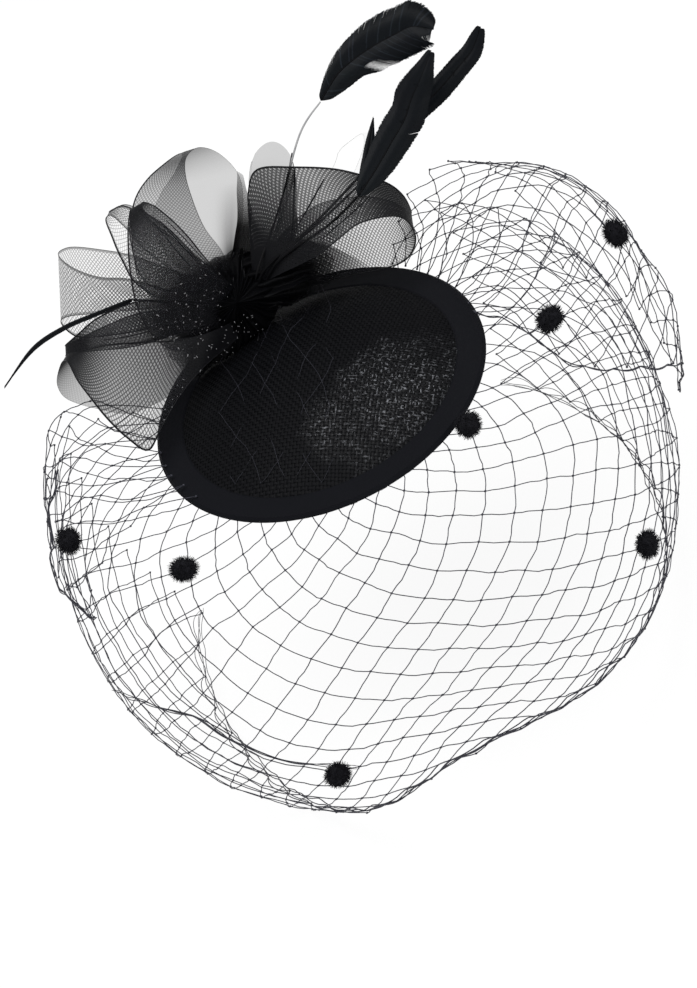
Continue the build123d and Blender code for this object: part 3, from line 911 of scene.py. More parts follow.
# each loop has its near edge and its far edge from the knot, round the tip and back, as places in the frame
LOOP_EDGES = {
    "tall": (
        [(238, 283, -24), (221, 250, -10), (205, 228, -4), (192, 199, -2), (185, 176, -3), (187, 158, -8),
         (200, 148, -14), (221, 155, -22), (238, 176, -27), (243, 205, -29), (240, 245, -30), (233, 280, -31)],
        [(215, 300, -24), (150, 285, -14), (131, 245, -12), (133, 205, -12), (148, 178, -14), (168, 161, -18),
         (183, 154, -24), (174, 172, -30), (160, 195, -34), (152, 225, -36), (172, 262, -37), (220, 292, -34)],
    ),
    "front": (
        [(238, 292, -18), (221, 275, -6), (202, 254, 3), (187, 236, 8), (170, 219, 10), (154, 206, 9),
         (142, 203, 5), (146, 212, -1), (166, 226, -4), (188, 248, -6), (208, 272, -10), (234, 292, -22)],
        [(230, 325, -18), (182, 350, -6), (153, 336, 3), (138, 305, 7), (130, 268, 9), (128, 235, 7),
         (131, 211, 3), (131, 226, -3), (133, 255, -6), (142, 285, -8), (170, 308, -12), (224, 308, -22)],
    ),
    "behind": (
        [(228, 292, -33), (170, 300, -31), (137, 285, -28), (122, 260, -26), (113, 237, -25), (107, 220, -27),
         (112, 215, -32), (124, 226, -36), (150, 255, -38), (200, 285, -38), (228, 292, -36)],
        [(236, 280, -33), (195, 256, -34), (165, 232, -34), (142, 214, -33), (123, 205, -32), (110, 211, -32),
         (115, 207, -36), (130, 204, -40), (160, 222, -42), (205, 262, -42), (236, 282, -38)],
    ),
    "right": (
        [(234, 292, -22), (180, 291, -10), (150, 284, -5), (125, 278, -3), (99, 276, -2), (72, 267, -4),
         (59, 255, -10), (67, 249, -18), (83, 248, -24), (107, 251, -28), (130, 256, -31), (180, 272, -34),
         (231, 290, -34)],
        [(230, 305, -22), (185, 318, -10), (150, 328, -5), (125, 334, -2), (100, 337, -1), (76, 336, -3),
         (61, 323, -9), (70, 316, -18), (90, 314, -24), (115, 312, -28), (140, 310, -31), (185, 306, -34),
         (229, 302, -34)],
    ),
    "right_fold": (
        [(238, 300, -20), (180, 302, -7), (135, 302, 0), (102, 316, 3), (80, 332, 2), (66, 346, -3),
         (76, 341, -9), (100, 328, -14), (135, 314, -18), (180, 308, -22), (236, 302, -26)],
        [(238, 314, -20), (190, 330, -7), (153, 341, 2), (102, 346, 5), (82, 351, 3), (67, 355, -2),
         (78, 353, -9), (104, 350, -13), (145, 344, -17), (188, 330, -22), (236, 314, -26)],
    ),
    "low": (
        [(238, 338, -18), (205, 366, -6), (178, 398, 0), (160, 430, 5), (148, 450, 8), (128, 438, 9),
         (110, 422, 9), (96, 406, 9), (79, 381, 7), (68, 360, 3), (61, 366, -6), (57, 382, -12), (63, 396, -17),
         (78, 404, -21), (98, 409, -25), (135, 412, -27), (185, 385, -28), (230, 335, -28)],
        [(240, 318, -18), (216, 330, -8), (195, 337, -3), (175, 341, 0), (155, 342, 3), (135, 343, 5),
         (118, 344, 6), (104, 346, 6), (86, 349, 4), (70, 351, -1), (72, 353, -8), (82, 353, -13),
         (98, 351, -17), (118, 347, -21), (138, 342, -24), (160, 336, -26), (196, 327, -28), (236, 316, -28)],
    ),
    "small": (
        [(255, 265, -28), (252, 225, -23), (249, 190, -21), (249, 174, -21), (250, 164, -23), (251, 162, -27),
         (250, 174, -31), (250, 192, -33), (253, 225, -33), (257, 265, -32)],
        [(263, 266, -28), (279, 228, -23), (290, 192, -21), (295, 174, -21), (294, 164, -23), (293, 162, -27),
         (294, 174, -31), (290, 192, -33), (277, 225, -33), (264, 266, -32)],
    ),
    "left": (
        [(256, 286, -20), (280, 274, -12), (300, 265, -7), (318, 255, -3), (339, 238, 0), (358, 223, 1),
         (378, 217, 1), (397, 216, -2), (409, 222, -7), (415, 234, -13), (413, 248, -20), (403, 261, -26),
         (380, 270, -30), (345, 277, -33), (298, 290, -35), (256, 300, -33)],
        [(252, 270, -20), (249, 222, -14), (249, 190, -11), (258, 170, -8), (290, 167, -5), (326, 168, -2),
         (358, 174, -1), (386, 183, -3), (403, 196, -7), (412, 212, -13), (404, 208, -21), (386, 200, -27),
         (352, 197, -32), (312, 208, -35), (280, 236, -36), (254, 276, -34)],
    ),
    "left_behind": (
        [(262, 284, -35), (300, 222, -39), (331, 170, -41), (338, 152, -41), (347, 143, -42), (361, 134, -43),
         (362, 150, -46), (350, 180, -48), (318, 230, -46), (262, 286, -38)],
        [(268, 290, -35), (330, 240, -38), (374, 192, -40), (386, 168, -41), (387, 152, -42), (377, 140, -43),
         (376, 156, -46), (370, 188, -48), (328, 242, -46), (268, 292, -38)],
    ),
}
# how much of the ribbon its threads cover going out and coming back, how far it looks like a plain film
# going out and coming back, and the reach of the gathers from the knot
LOOP_LOOKS = {
    "tall": (0.70, 0.50, 0.65, 1.0, 15.0),
    "front": (0.66, 0.64, 0.55, 0.6, 27.0),
    "behind": (0.34, 0.30, 0.20, 0.3, 22.0),
    "right": (0.50, 0.48, 0.15, 0.25, 24.0),
    "right_fold": (1.05, 0.95, 0.55, 0.6, 32.0),
    "low": (0.82, 0.66, 0.40, 0.9, 32.0),
    "small": (0.30, 0.28, 1.0, 1.0, 8.0),
    "left": (1.12, 0.70, 0.55, 0.40, 36.0),
    "left_behind": (0.03, 0.03, 1.0, 1.0, 6.0),
}
# thickness of the cord along the near edge going out and coming back, and along the far edge the same way
LOOP_CORDS = {
    "tall": (0.10, 0.05, 0.34, 0.05),
    "front": (0.30, 0.16, 0.36, 0.16),
    "behind": (0.34, 0.14, 0.24, 0.14),
    "right": (0.10, 0.12, 0.30, 0.14),
    "right_fold": (0.30, 0.20, 0.36, 0.20),
    "low": (0.38, 0.05, 0.26, 0.05),
    "small": (0.07, 0.05, 0.12, 0.05),
    "left": (0.28, 0.32, 0.38, 0.16),
    "left_behind": (0.04, 0.03, 0.04, 0.03),
}
# pleats and doubled threads that stand out darker in the ribbons: half width, then places in the frame
LOOP_PLEATS = [
    (0.42, [(292, 153, -17), (288, 176, -11), (280, 205, -12), (271, 236, -16), (264, 262, -22)]),
    (0.40, [(295, 170, -4), (294, 195, -6), (293, 222, -9), (290, 250, -14), (284, 268, -18)]),
    (0.34, [(324, 179, -2), (313, 199, -3), (300, 222, -7), (285, 245, -13)]),
    (0.30, [(370, 196, -2), (351, 214, -1), (330, 232, -3), (305, 254, -8)]),
    (0.20, [(166, 220, 9), (184, 238, 7), (204, 260, 2), (226, 282, -8)]),
    (0.20, [(160, 221, 9), (178, 241, 7), (199, 264, 2), (222, 286, -8)]),
    (0.18, [(153, 222, 9), (171, 244, 7), (192, 268, 2), (218, 290, -8)]),
    (0.22, [(104, 340, 6), (130, 336, 5), (160, 328, 0), (195, 320, -8)]),
]
# narrow pleated folds of the same ribbon: their two edges in the frame, the number of their pleats, and
# how much they cover at the outer end and at the root
LOOP_FOLDS = {
    "tall": (
        [(236, 172, -29), (237, 194, -28), (236, 225, -28), (232, 250, -27), (226, 284, -25)],
        [(243, 176, -28), (250, 200, -27), (253, 228, -27), (253, 250, -26), (250, 284, -24)], 3, 0.45, 1.5),
    "left": (
        [(288, 167, -3), (283, 196, -7), (274, 232, -12), (260, 272, -19)],
        [(294, 167, -3), (297, 196, -6), (297, 232, -9), (292, 272, -16)], 3, 0.5, 1.3),
    "root": (
        [(368, 264, -17), (338, 250, -14), (308, 241, -14), (276, 241, -17), (244, 254, -22)],
        [(368, 269, -16), (338, 275, -13), (308, 280, -12), (276, 294, -14), (246, 304, -18)], 4, 0.1, 1.5),
}
LOOP_CROWN = {"small": 21.0, "left_behind": 4.0}
TIP_PLACE, TIP_SPREAD = 0.52, 0.13  # along a loop
LOOP_STEPS = 90
LOOP_ACROSS = 16
# painted shade: a band of extra cover that darkens one side of a loop's returning leaf
SHADE_BAND = {"tall": 0.75}  # extra cover along one side, where a loop comes back
FOLD_STEPS = 60
FOLD_ACROSS = 8  # points to a pleat
FOLD_DEPTH = 1.3
LEAST_CLOSENESS = 0.8
KNOT_CLOSENESS = 2.2
MOST_COVER = 1.85
COVER_TURN, CORD_TURN = 0.12, 0.2  # how much of a loop its turn takes
RIBBON_FULLNESS = 1.05  # of the flat ribbon, for its gathers
LEAST_WIDTH = 10.2


def loop_rows(name):
    """Rows of points across a loop's ribbon, from root to root."""
    near, far = ([framed(place) for place in edge] for edge in LOOP_EDGES[name])
    crown = LOOP_CROWN.get(name, 0.0) / DOTS_PER_MM
    rows = []
    for step in range(LOOP_STEPS + 1):
        along = step / LOOP_STEPS
        first = smooth_at(near, along)
        last = smooth_at(far, along)
        tip = exp(-((along - TIP_PLACE) / TIP_SPREAD) ** 2)
        row = []
        for index in range(LOOP_ACROSS + 1):
            across = index / LOOP_ACROSS
            point = first.lerp(last, across) + UP * (crown * tip * sin(pi * across) ** 0.6)
            row.append(point + uneven("loop", point, sin(pi * along)))
        rows.append(row)
    return rows


def fold_rows(first_edge, last_edge, pleats):
    """Rows of points across a narrow pleated fold."""
    edges = [[framed(place) for place in edge] for edge in (first_edge, last_edge)]
    rows = []
    for step in range(FOLD_STEPS + 1):
        start, end = (smooth_at(edge, step / FOLD_STEPS) for edge in edges)
        row = []
        for index in range(FOLD_ACROSS * pleats + 1):
            across = index / (FOLD_ACROSS * pleats)
            point = start.lerp(end, across)
            deep = FOLD_DEPTH * sin(across * pleats * 2 * pi + step * 0.04)
            row.append(point + BACK * deep + uneven("fold", point))
        rows.append(row)
    return rows


def past_tip(out, home, along, spread):
    """A value that changes from out to home as a loop turns at its tip."""
    return out + (home - out) * clamp((along - 0.5) / spread + 0.5)


def lay_weave(piece, rows, flat_width, look, gather_reach, hemmed):
    """Lay three UV maps on a ribbon for its finish.

    They hold the place along and across it, the distance from a hem with how open the threads are, and
    the share of plain film with what the threads cover. look gives cover and film at a place.
    """
    middle = len(rows[0]) // 2
    marks = []
    run = 0.0
    for index, row in enumerate(rows):
        if index:
            run += (row[middle] - rows[index - 1][middle]).length
        width = run_length(row)
        closeness = max(flat_width / max(width, 1.0), LEAST_CLOSENESS)
        for step, point in enumerate(row):
            across = step / (len(row) - 1)
            cover, film = look(index / (len(rows) - 1), across)
            margin = min(across, 1 - across) * width if hemmed else 10 * CRIN_HEM
            gather = 1 + KNOT_CLOSENESS * exp(-((point - KNOT_CENTRE).length / gather_reach) ** 2)
            part = min(cover * closeness * gather, MOST_COVER)
            union = 1 - (1 - part / 2) ** 2
            marks.append(((run, across * flat_width), (margin, cos(pi * part / 2)), (film, union)))
    for kind, name in enumerate(("weave", "gather", "film")):
        layer = piece.data.uv_layers.new(name=name)
        for loop in piece.data.loops:
            layer.data[loop.index].uv = marks[loop.vertex_index][kind]


def make_ribbon(name, rows, finish_name, look, *nodes,
                least=0.0, full=1.0, flat=None, reach=19.0, hemmed=True):
    """A piece of woven ribbon through rows of points.

    Its flat width is its mean width times full, but no less than least, unless flat
    gives the width. reach is how far the gathers run from the knot.
    """
    piece = make_piece(Shape().grid(rows), name, [finish_name], "crin", *nodes)
    widths = [run_length(row) for row in rows]
    width = flat or max(sum(widths) / len(widths) * full, least)
    lay_weave(piece, rows, width, look, reach, hemmed)


def make_loop(name, cords):
    """One loop of ribbon with a cord along each of its edges."""
    rows = loop_rows(name)
    cover_out, cover_home, film_out, film_home, gather_reach = LOOP_LOOKS[name]
    shade_band_cover = SHADE_BAND.get(name, 0.0)

    def look(along, across):
        # painted shade: the band of extra cover near one edge of the returning leaf
        strip = exp(-((across - 0.13) / 0.12) ** 2) * clamp((along - 0.74) * 6)
        cover = past_tip(cover_out, cover_home, along, COVER_TURN) + shade_band_cover * strip
        return cover, past_tip(film_out, film_home, along, COVER_TURN)

    make_ribbon("crin_ribbon_" + name, rows, "crin", look, "crin_loop_" + name,
                least=LEAST_WIDTH, full=RIBBON_FULLNESS, reach=gather_reach)
    near_out, near_home, far_out, far_home = LOOP_CORDS[name]
    for edge, out, home in ((0, near_out, near_home), (LOOP_ACROSS, far_out, far_home)):

        def taper(along):
            return past_tip(out, home, along, CORD_TURN) * min(0.25 + 3.2 * min(along, 1 - along), 1.0)

        cords.tube([row[edge] for row in rows], 1.0, 4, taper)


def make_fold(name):
    """One narrow pleated fold at the knot, closer woven towards its root."""
    first_edge, last_edge, pleats, cover, root_cover = LOOP_FOLDS[name]

    def look(along, across):
        return cover + (root_cover - cover) * min(along * 2, 1.0), 0.6

    make_ribbon("crin_fold_" + name, fold_rows(first_edge, last_edge, pleats), "gathered", look,
                reach=20.0, hemmed=False)


class FASCINATOR_OT_crin_loops(bpy.types.Operator):
    """Make the nine crin ribbon loops with their corded edges, and the folds between them"""

    bl_idname = "fascinator.crin_loops"
    bl_label = "Crin loops"

    def execute(self, context):
        cords = Shape()
        for name in LOOP_EDGES:
            make_loop(name, cords)
        for name in LOOP_FOLDS:
            make_fold(name)
        for width, line in LOOP_PLEATS:
            cords.tube(smooth_line([framed(place) for place in line], 8), width, 4,
                       lambda along: 0.25 + 0.75 * sin(pi * min(0.15 + along, 1.0)))
        make_piece(cords, "crin_edge_cords", ["cord"], "crin")
        return {"FINISHED"}


# ------------------------------------------------------------------ the knot


# the pleats round the knot: their middle in the frame, and how far they reach at each turn from the right
PLEAT_CENTRE = (238.0, 305.0, -21.0)
PLEAT_REACH = [
    (0, 54), (18, 106), (27, 110), (41, 86), (60, 64), (75, 62), (90, 62), (107, 58), (136, 60), (160, 74),
    (177, 90), (195, 98), (211, 100), (229, 98), (261, 80), (305, 56), (340, 50), (360, 54)]
PLEAT_WINDS = 3
PLEAT_STEPS = 240
PLEAT_RINGS = 12
GATHER_TURNS = 9
GATHER_STEPS = 360
GATHER_ACROSS = 6
GLINT_COUNT = 230
STRAY_COUNT = 170
STRAY_STEPS = 5
STRAY_RADIUS = 0.09
KNOT_SEED = 61
PLEAT_SHRINK = 0.2  # in each turn
PLEAT_RIPPLES = 27
RIPPLE_HEIGHT = 1.5


def pleat_reach(turn):
    for (start, low), (end, high) in zip(PLEAT_REACH, PLEAT_REACH[1:]):
        if start <= turn <= end:
            share = (turn - start) / (end - start)
            return low + (high - low) * share * share * (3 - 2 * share)
    return PLEAT_REACH[0][1]


def pleat_rows():
    """A ruffled strip wound round the knot, each turn smaller and higher than the one below."""
    middle = framed(PLEAT_CENTRE)
    rows = []
    for step in range(PLEAT_WINDS * PLEAT_STEPS + 1):
        wound = step / PLEAT_STEPS
        turn = 2 * pi * wound
        reach = pleat_reach(degrees(turn) % 360) / DOTS_PER_MM * (1.0 - PLEAT_SHRINK * wound)
        way = RIGHT * cos(turn) + UP * sin(turn)
        row = []
        for ring in range(PLEAT_RINGS + 1):
            out = 0.01 + 0.99 * ring / PLEAT_RINGS
            ripple = sin(turn * PLEAT_RIPPLES + 2.5 * sin(turn * 5)) * RIPPLE_HEIGHT * out
            height = 8.0 * (1 - out) ** 1.2 + 2.2 * wound - 7.0 * out ** 2 + ripple
            point = middle + way * (reach * out) + BACK * height
            point += uneven("pleats", point, out)
            if hypot(point.x, point.y) < RIM_RADIUS + 1:
                point.z = max(point.z, dome_top(point) + DOME_CLEARANCE)
            row.append(point)
        rows.append(row)
    return rows


def gather_rows():
    """A narrow strip wound round and round the middle of the bow."""
    rows = []
    for step in range(GATHER_STEPS + 1):
        along = step / GATHER_STEPS
        turn = along * GATHER_TURNS * 2 * pi
        swell = 7.0 + 3.0 * sin(along * pi) + 1.8 * sin(turn * 2.6)
        row = []
        for index in range(GATHER_ACROSS + 1):
            across = index / GATHER_ACROSS
            height = -7.5 + 15.5 * across + 1.2 * sin(turn * 3.1 + across * 4)
            reach = swell * (0.55 + 0.75 * sin(pi * across) ** 0.7)
            point = KNOT_CENTRE + Vector((cos(turn) * reach, sin(turn) * reach, 2.5 + height))
            row.append(point + uneven("gather", point))
        rows.append(row)
    return rows


def lay_painted_glints(strays, rows, chance):
    """Short pale bits of thread on the pleats and on the roots of three ribbons: painted glints."""
    ribbons = [loop_rows(name) for name in ("front", "right_fold", "low")]
    for _ in range(GLINT_COUNT):
        if chance.random() < 0.35:
            row = rows[int(chance.uniform(0.4, 0.9) * PLEAT_STEPS) + PLEAT_STEPS * chance.randrange(2)]
            place = row[int(chance.uniform(0.3, 1.0) * PLEAT_RINGS)] + BACK * chance.uniform(0.8, 2.2)
        else:
            row = chance.choice(ribbons)[int(LOOP_STEPS * chance.uniform(0.03, 0.21))]
            place = chance.choice(row) + BACK * chance.uniform(0.4, 1.2)
        way = any_way(chance).normalized()
        strays.tube([place, place + way * chance.uniform(0.3, 0.9)], chance.uniform(0.07, 0.15), mark=1)


def lay_strays(strays, chance):
    """Loose bent threads that spring from the knot and clear the dome."""
    for _ in range(STRAY_COUNT):
        way = Vector((chance.gauss(0, 1), chance.gauss(0, 1), abs(chance.gauss(0, 0.8)) + 0.15)).normalized()
        start = KNOT_CENTRE + way * chance.uniform(4, 9)
        bend = way.cross(any_way(chance)).normalized()
        size = chance.uniform(5, 15)
        points = []
        for step in range(STRAY_STEPS + 1):
            share = step / STRAY_STEPS
            point = start + way * (size * share) + bend * (size * 0.7 * share ** 2)
            point.z = max(point.z, dome_top(point) + DOME_CLEARANCE)
            points.append(point)
        strays.tube(points, STRAY_RADIUS, 3)


class FASCINATOR_OT_crin_knot(bpy.types.Operator):
    """Make the gathered crin at the centre of the bow, with its stray threads and painted glints"""

    bl_idname = "fascinator.crin_knot"
    bl_label = "Crin knot"

    def execute(self, context):
        chance = random.Random(KNOT_SEED)
        make_ribbon("crin_gather", gather_rows(), "gathered",
                    lambda along, across: (1.1, 0.3), "crin_centre_wrap", flat=16.0, hemmed=False)
        rows = pleat_rows()
        make_ribbon("crin_pleats", rows, "gathered",
                    lambda along, across: (1.5 - 0.95 * across ** 2, 0.5), reach=24.0, hemmed=False)
        strays = Shape()
        lay_painted_glints(strays, rows, chance)
        lay_strays(strays, chance)
        make_piece(strays, "crin_strays", ["stray", "glint"], "crin")
        return {"FINISHED"}


# ------------------------------------------------------------------ the feathers


# each vane has the points of its spine, and the widths of its barbs on either hand
VANES = {
    "curled": (
        [(77, 39, 68), (87, 37, 73), (95, 34, 75), (102, 29, 77), (109, 24, 78), (114, 19, 79), (117, 12, 77)],
        [1, 7.5, 9.5, 10, 9.8, 9.2, 8.6], [0.6, 4, 7.5, 9, 9, 8, 6]),
    "long": (
        [(58, 12, 45), (69, 11, 49), (80, 10, 54), (88, 9, 58), (95, 9, 63), (102, 8, 68), (110, 8, 73)],
        [1, 5, 6.6, 6.6, 6.2, 4.6, 3], [1, 5, 6.6, 6.6, 6.2, 4.6, 3]),
    "side": (
        [(88, 19, 46), (98, 17, 50), (108, 12, 54), (118, 9, 57.5), (126, 7, 60.5), (133, 6, 66)],
        [1, 4.2, 4.3, 4.1, 3.7, 3], [1, 4.2, 4.3, 4.1, 3.7, 3]),
    "spike": (
        [(66, 20, 42), (74, 22, 46), (80, 24, 50), (87, 27, 54)],
        [1, 2, 1.6, 0.6], [1, 2, 1.6, 0.6]),
    "trailing": (
        [(-22.2, 57.2, 48.2), (-35, 62, 51), (-48, 66, 54), (-61, 71, 53), (-77, 73, 48)],
        [0.7, 0.8, 0.9, 0.9, 0.4], [0.7, 0.8, 0.9, 0.9, 0.4]),
}
QUILLS = {
    "curled": [(17, 43.5, 20), (21, 40, 30), (42, 40, 45), (64, 42, 61), (76.5, 39, 67.7)],
    "long": [(18.5, 41.5, 18), (26, 33, 32), (45, 18, 40), (57.5, 12.2, 44.8)],
    "side": [(18.8, 43.4, 17.5), (28, 36.8, 29.5), (50, 28.4, 36.6), (72, 23.4, 41.8), (87.5, 19.1, 45.8)],
    "spike": [(16.6, 41.4, 19), (22.5, 37.5, 30), (45, 24, 39), (65.4, 20.2, 41.6)],
    "trailing": [(8, 44.5, 18), (0, 45, 30), (-22, 57, 48)],
}
PALE_QUILLS = ("curled",)
LOOSE_HAND = 1
# how high a barb's random level must be to make a paler streak of painted sheen
SHEEN_STREAKS = {"curled": 0.27}
NO_STREAK = 0.9
FEATHER_SEED = 70
SPLIT_CHANCE = 0.004
BARB_STEPS = 4
PALE_QUILL_RADIUS = 0.42
DARK_QUILL_RADIUS = 0.55
SHAFT_RADIUS = 0.34


def vane_shape(name):
    """The barbs of both hands of a feather, along its spine."""
    spine, *hands = VANES[name]
    spine = [Vector(point) for point in spine]
    chance = random.Random(FEATHER_SEED + len(name) + ord(name[0]))
    length = run_length(spine)
    count = int(length / (sizes().barb_spacing / MM))
    vane = Shape()
    for hand, widths in zip((1, -1), hands):
        loose = hand == LOOSE_HAND
        split = 0.0
        for index in range(count):
            place = index / count
            if chance.random() < SPLIT_CHANCE:
                split = chance.uniform(0.5, 1.0)
            split *= 0.86
            here = smooth_at(spine, place)
            run = (smooth_at(spine, place + 0.02) - smooth_at(spine, place - 0.02)).normalized()
            across = run.cross(BACK).normalized() * hand
            lift = across.cross(run).normalized() * hand
            rounding = sqrt(1 - max(0.0, (place - 0.72) / 0.28) ** 2)
            width = max(smooth_at(widths, place + 0.06) * rounding, 0.3)
            reach = width * chance.uniform(0.97, 1.03) * 1.12
            lean = 0.75 + 0.1 * split
            wisp = 1.0
            if name == "curled" and loose:
                clear = 0.72 * exp(-((place - 0.33) / 0.12) ** 2)
                wisp -= clear + 0.7 * max((place - 0.68) / 0.32, 0) ** 0.7
            wide = run * (0.26 + (0.0 if loose else 1.4 * max(place - 0.62, 0.0)))
            strip = []
            for step in range(BARB_STEPS + 1):
                share = step / BARB_STEPS
                sweep = share * lean + 0.25 * share ** 2
                dome = sin(share * 2.2) * 0.16
                forward = min(reach * sweep * 0.75, (1 - place) * length * share * 0.7)
                point = here + across * (reach * share * 0.92) + run * forward
                point = point + lift * (reach * (dome - 0.24 * share ** 2))
                narrow = (1 - 0.4 * share ** 2) * (wisp if step > 1 else 1.0)
                strip.append([point - wide * narrow, point + wide * narrow])
            level = noise.noise(Vector((index * 0.31, hand * 5.0, len(name) * 3.0)))
            # barbs of finish 2 take the paler streaks of painted sheen
            vane.grid(strip, 2 if level > SHEEN_STREAKS.get(name, NO_STREAK) else 0)
    vane.tube(smooth_line(spine, 6), SHAFT_RADIUS, 6, thinning(0.8), 1)
    return vane


class FASCINATOR_OT_feathers(bpy.types.Operator):
    """Make the five feathers barb by barb on their quills"""

    bl_idname = "fascinator.feathers"
    bl_label = "Feathers"

    def execute(self, context):
        for name, route in QUILLS.items():
            looks = ["vane", "dark_quill", "vane_sheen_streak"]
            make_piece(vane_shape(name), name + "_feather_vane", looks, "feather", name + "_vane")
            look, radius = "dark_quill", DARK_QUILL_RADIUS
            if name in PALE_QUILLS:
                look, radius = "quill", PALE_QUILL_RADIUS
            quill = Shape()
            quill.tube(smooth_line([Vector(point) for point in route], 10), radius, 8, swelling(0.75))
            make_piece(quill, name + "_feather_quill", [look], "quill", name + "_quill")
        return {"FINISHED"}


# ------------------------------------------------------------------ the chenille dots


FACE_DOTS = [(7, 0.065), (12, 0.625), (-53.5, 0.68), (-79, 0.17)]
PUFF_DOTS = [(0.28, 0.57), (0.08, 0.34)]
TUCK_DOTS = [(0.18, 0.59)]
DOT_RADIUS = 5.2
SOFT_GAP = 0.3
DOT_CORE = 4.3
DOT_REACH = 5.55
DOT_STRETCH = (1.06, 0.9, 0.8)  # along the net, across it and out of it
DOT_RINGS = 8
DOT_SIDES = 14
DOT_SEED = 81
FIBRE_ROOT = 3.4
FIBRE_RADIUS = 0.125


def surface_dot(surface, first, second, step_first, step_second):
    """Where a dot sits on a surface, and the way out of it."""
    here = surface(first, second)
    one = surface(first + step_first, second) - here
    other = surface(first, second + step_second) - here
    out = one.cross(other).normalized()
    if out.dot(here - Vector((0, 0, -VEIL_DROP))) < 0:
        out = -out
    return here + out * (DOT_RADIUS + SOFT_GAP), out


def dot_lump(way, seed):
    return 0.9 * noise.noise(way * 2.4 + Vector((seed * 9.0, 0, 0)))


class FASCINATOR_OT_chenille_dots(bpy.types.Operator):
    """Make the seven fuzzy chenille dots on the veil"""

    bl_idname = "fascinator.chenille_dots"
    bl_label = "Chenille dots"

    def execute(self, context):
        chance = random.Random(DOT_SEED)
        places = [surface_dot(veil_point, *place, 0.5, 0.004) for place in FACE_DOTS]
        places += [surface_dot(puff_point, *place, 0.01, 0.01) for place in PUFF_DOTS]
        places += [surface_dot(tuck_point, *place, 0.01, 0.01) for place in TUCK_DOTS]
        shape = Shape()
        for seed, (centre, out) in enumerate(places):
            side = Matrix.Rotation(chance.uniform(0, 6.28), 3, out) @ out.orthogonal().normalized()
            other = out.cross(side)

            def on_dot(way, reach):
                x, y, z = (part * stretch for part, stretch in zip(way, DOT_STRETCH))
                return centre + (side * x + other * y + out * z) * reach

            rows = []
            for row in range(DOT_RINGS + 1):
                polar = pi * row / DOT_RINGS
                ring = []
                for step in range(DOT_SIDES + 1):
                    turn = 2 * pi * step / DOT_SIDES
                    way = Vector((sin(polar) * cos(turn), sin(polar) * sin(turn), cos(polar)))
                    ring.append(on_dot(way, DOT_CORE + dot_lump(way, seed)))
                rows.append(ring)
            shape.grid(rows)
            for _ in range(sizes().dot_fibres):
                way = any_way(chance).normalized()
                start = on_dot(way, FIBRE_ROOT)
                swirl = any_way(chance) * 0.28
                reach = DOT_REACH + dot_lump(way, seed) + chance.uniform(-0.6, 0.5)
                end = on_dot((way + swirl * 0.5).normalized(), reach)
                shape.tube([start, start.lerp(end, 0.55) + swirl * 0.6, end], FIBRE_RADIUS, 3, thinning(0.6))
        make_piece(shape, "chenille_dot_tufts", ["chenille"], "chenille", "chenille_dots")
        return {"FINISHED"}


# ------------------------------------------------------------------ the base


BASE_LOOKS = {
    "sinamay_base": "backing", "base_lining": "felt", "rim_wire": "metal", "edge_binding": "binding",
    "veil_stitches": "thread", "feather_binding": "cord",
}
WEAVE_OVERHANG = 1.0
WEAVE_LIFT = 0.32
WEAVE_RISE = 0.2  # of a thread where it goes over another
THREAD_CROWN = 0.1


def straw_rows(way, thread, pitch):
    """One flat thread of the dome, over and under those that cross it."""
    reach = CROWN_RADIUS + WEAVE_OVERHANG
    offset = thread * pitch + 0.12 * noise.noise(Vector((thread * 3.7, way * 11.0, 0)))
    half = sqrt(max(reach ** 2 - offset ** 2, 0))
    last = int(half / pitch * 2)
    width = pitch * (0.33 + 0.09 * noise.noise(Vector((thread * 1.9, way * 5.0, 4))))
    turn = Matrix.Rotation(WEAVE_ANGLE, 3, "Z")
    rows = []
    for step in range(-last, last + 1):
        along = step * pitch / 2
        over = sin(step * pi / 2 + pi / 2 + pi * (thread + way))
        sway = 0.1 * noise.noise(Vector((along / 5, thread * 2.0, way * 7.0)))
        row = []
        for side in (-1, 0, 1):
            shift = offset + sway + side * width
            flat = turn @ Vector((shift, along, 0) if way else (along, shift, 0))
            crown = THREAD_CROWN if side == 0 else 0
            height = BRIM_TOP + crown_height(flat.length) + WEAVE_LIFT + WEAVE_RISE * over + crown
            row.append(Vector((flat.x, flat.y, height)))
        rows.append(row)
    return rows


class FASCINATOR_OT_dome_weave(bpy.types.Operator):
    """Weave the sinamay over the dome, and finish the binding, the lining and the stitches"""

    bl_idname = "fascinator.dome_weave"
    bl_label = "Base"

    def execute(self, context):
        pitch = sizes().weave_pitch / MM
        count = int((CROWN_RADIUS + WEAVE_OVERHANG) / pitch)
        shape = Shape()
        for way in (0, 1):
            for thread in range(-count, count + 1):
                rows = straw_rows(way, thread, pitch)
                if len(rows) > 1:
                    shape.grid(rows)
        make_piece(shape, "sinamay_weave", ["straw"], "sinamay")
        dress(BASE_LOOKS)
        return {"FINISHED"}


# ------------------------------------------------------------------ the clips


CLIP_PLACES = {
    "front": Matrix.Translation((-10, -24, 1.8)),
    "back": Matrix.Translation((10, 24, 1.8)) @ Matrix.Rotation(pi, 4, "Z"),
}
CLIP_LOOKS = {
    "pad": "felt", "fixed_jaw": "metal", "moving_jaw": "metal", "pin": "metal", "stitches": "thread"}
SPRING_WIRE = 0.3
SPRING_COIL = 1.25
SPRING_SIDE = 2.05
SPRING_TURN = 90 + 130.6 + 5 * 360
SPRING_STEPS = 160
LEG_STEPS = 12
SPRING_UPPER_END = Vector((-8.8, 2.05, 2.65))
SPRING_LOWER_END = Vector((-8.845, -2.05, -6.179))


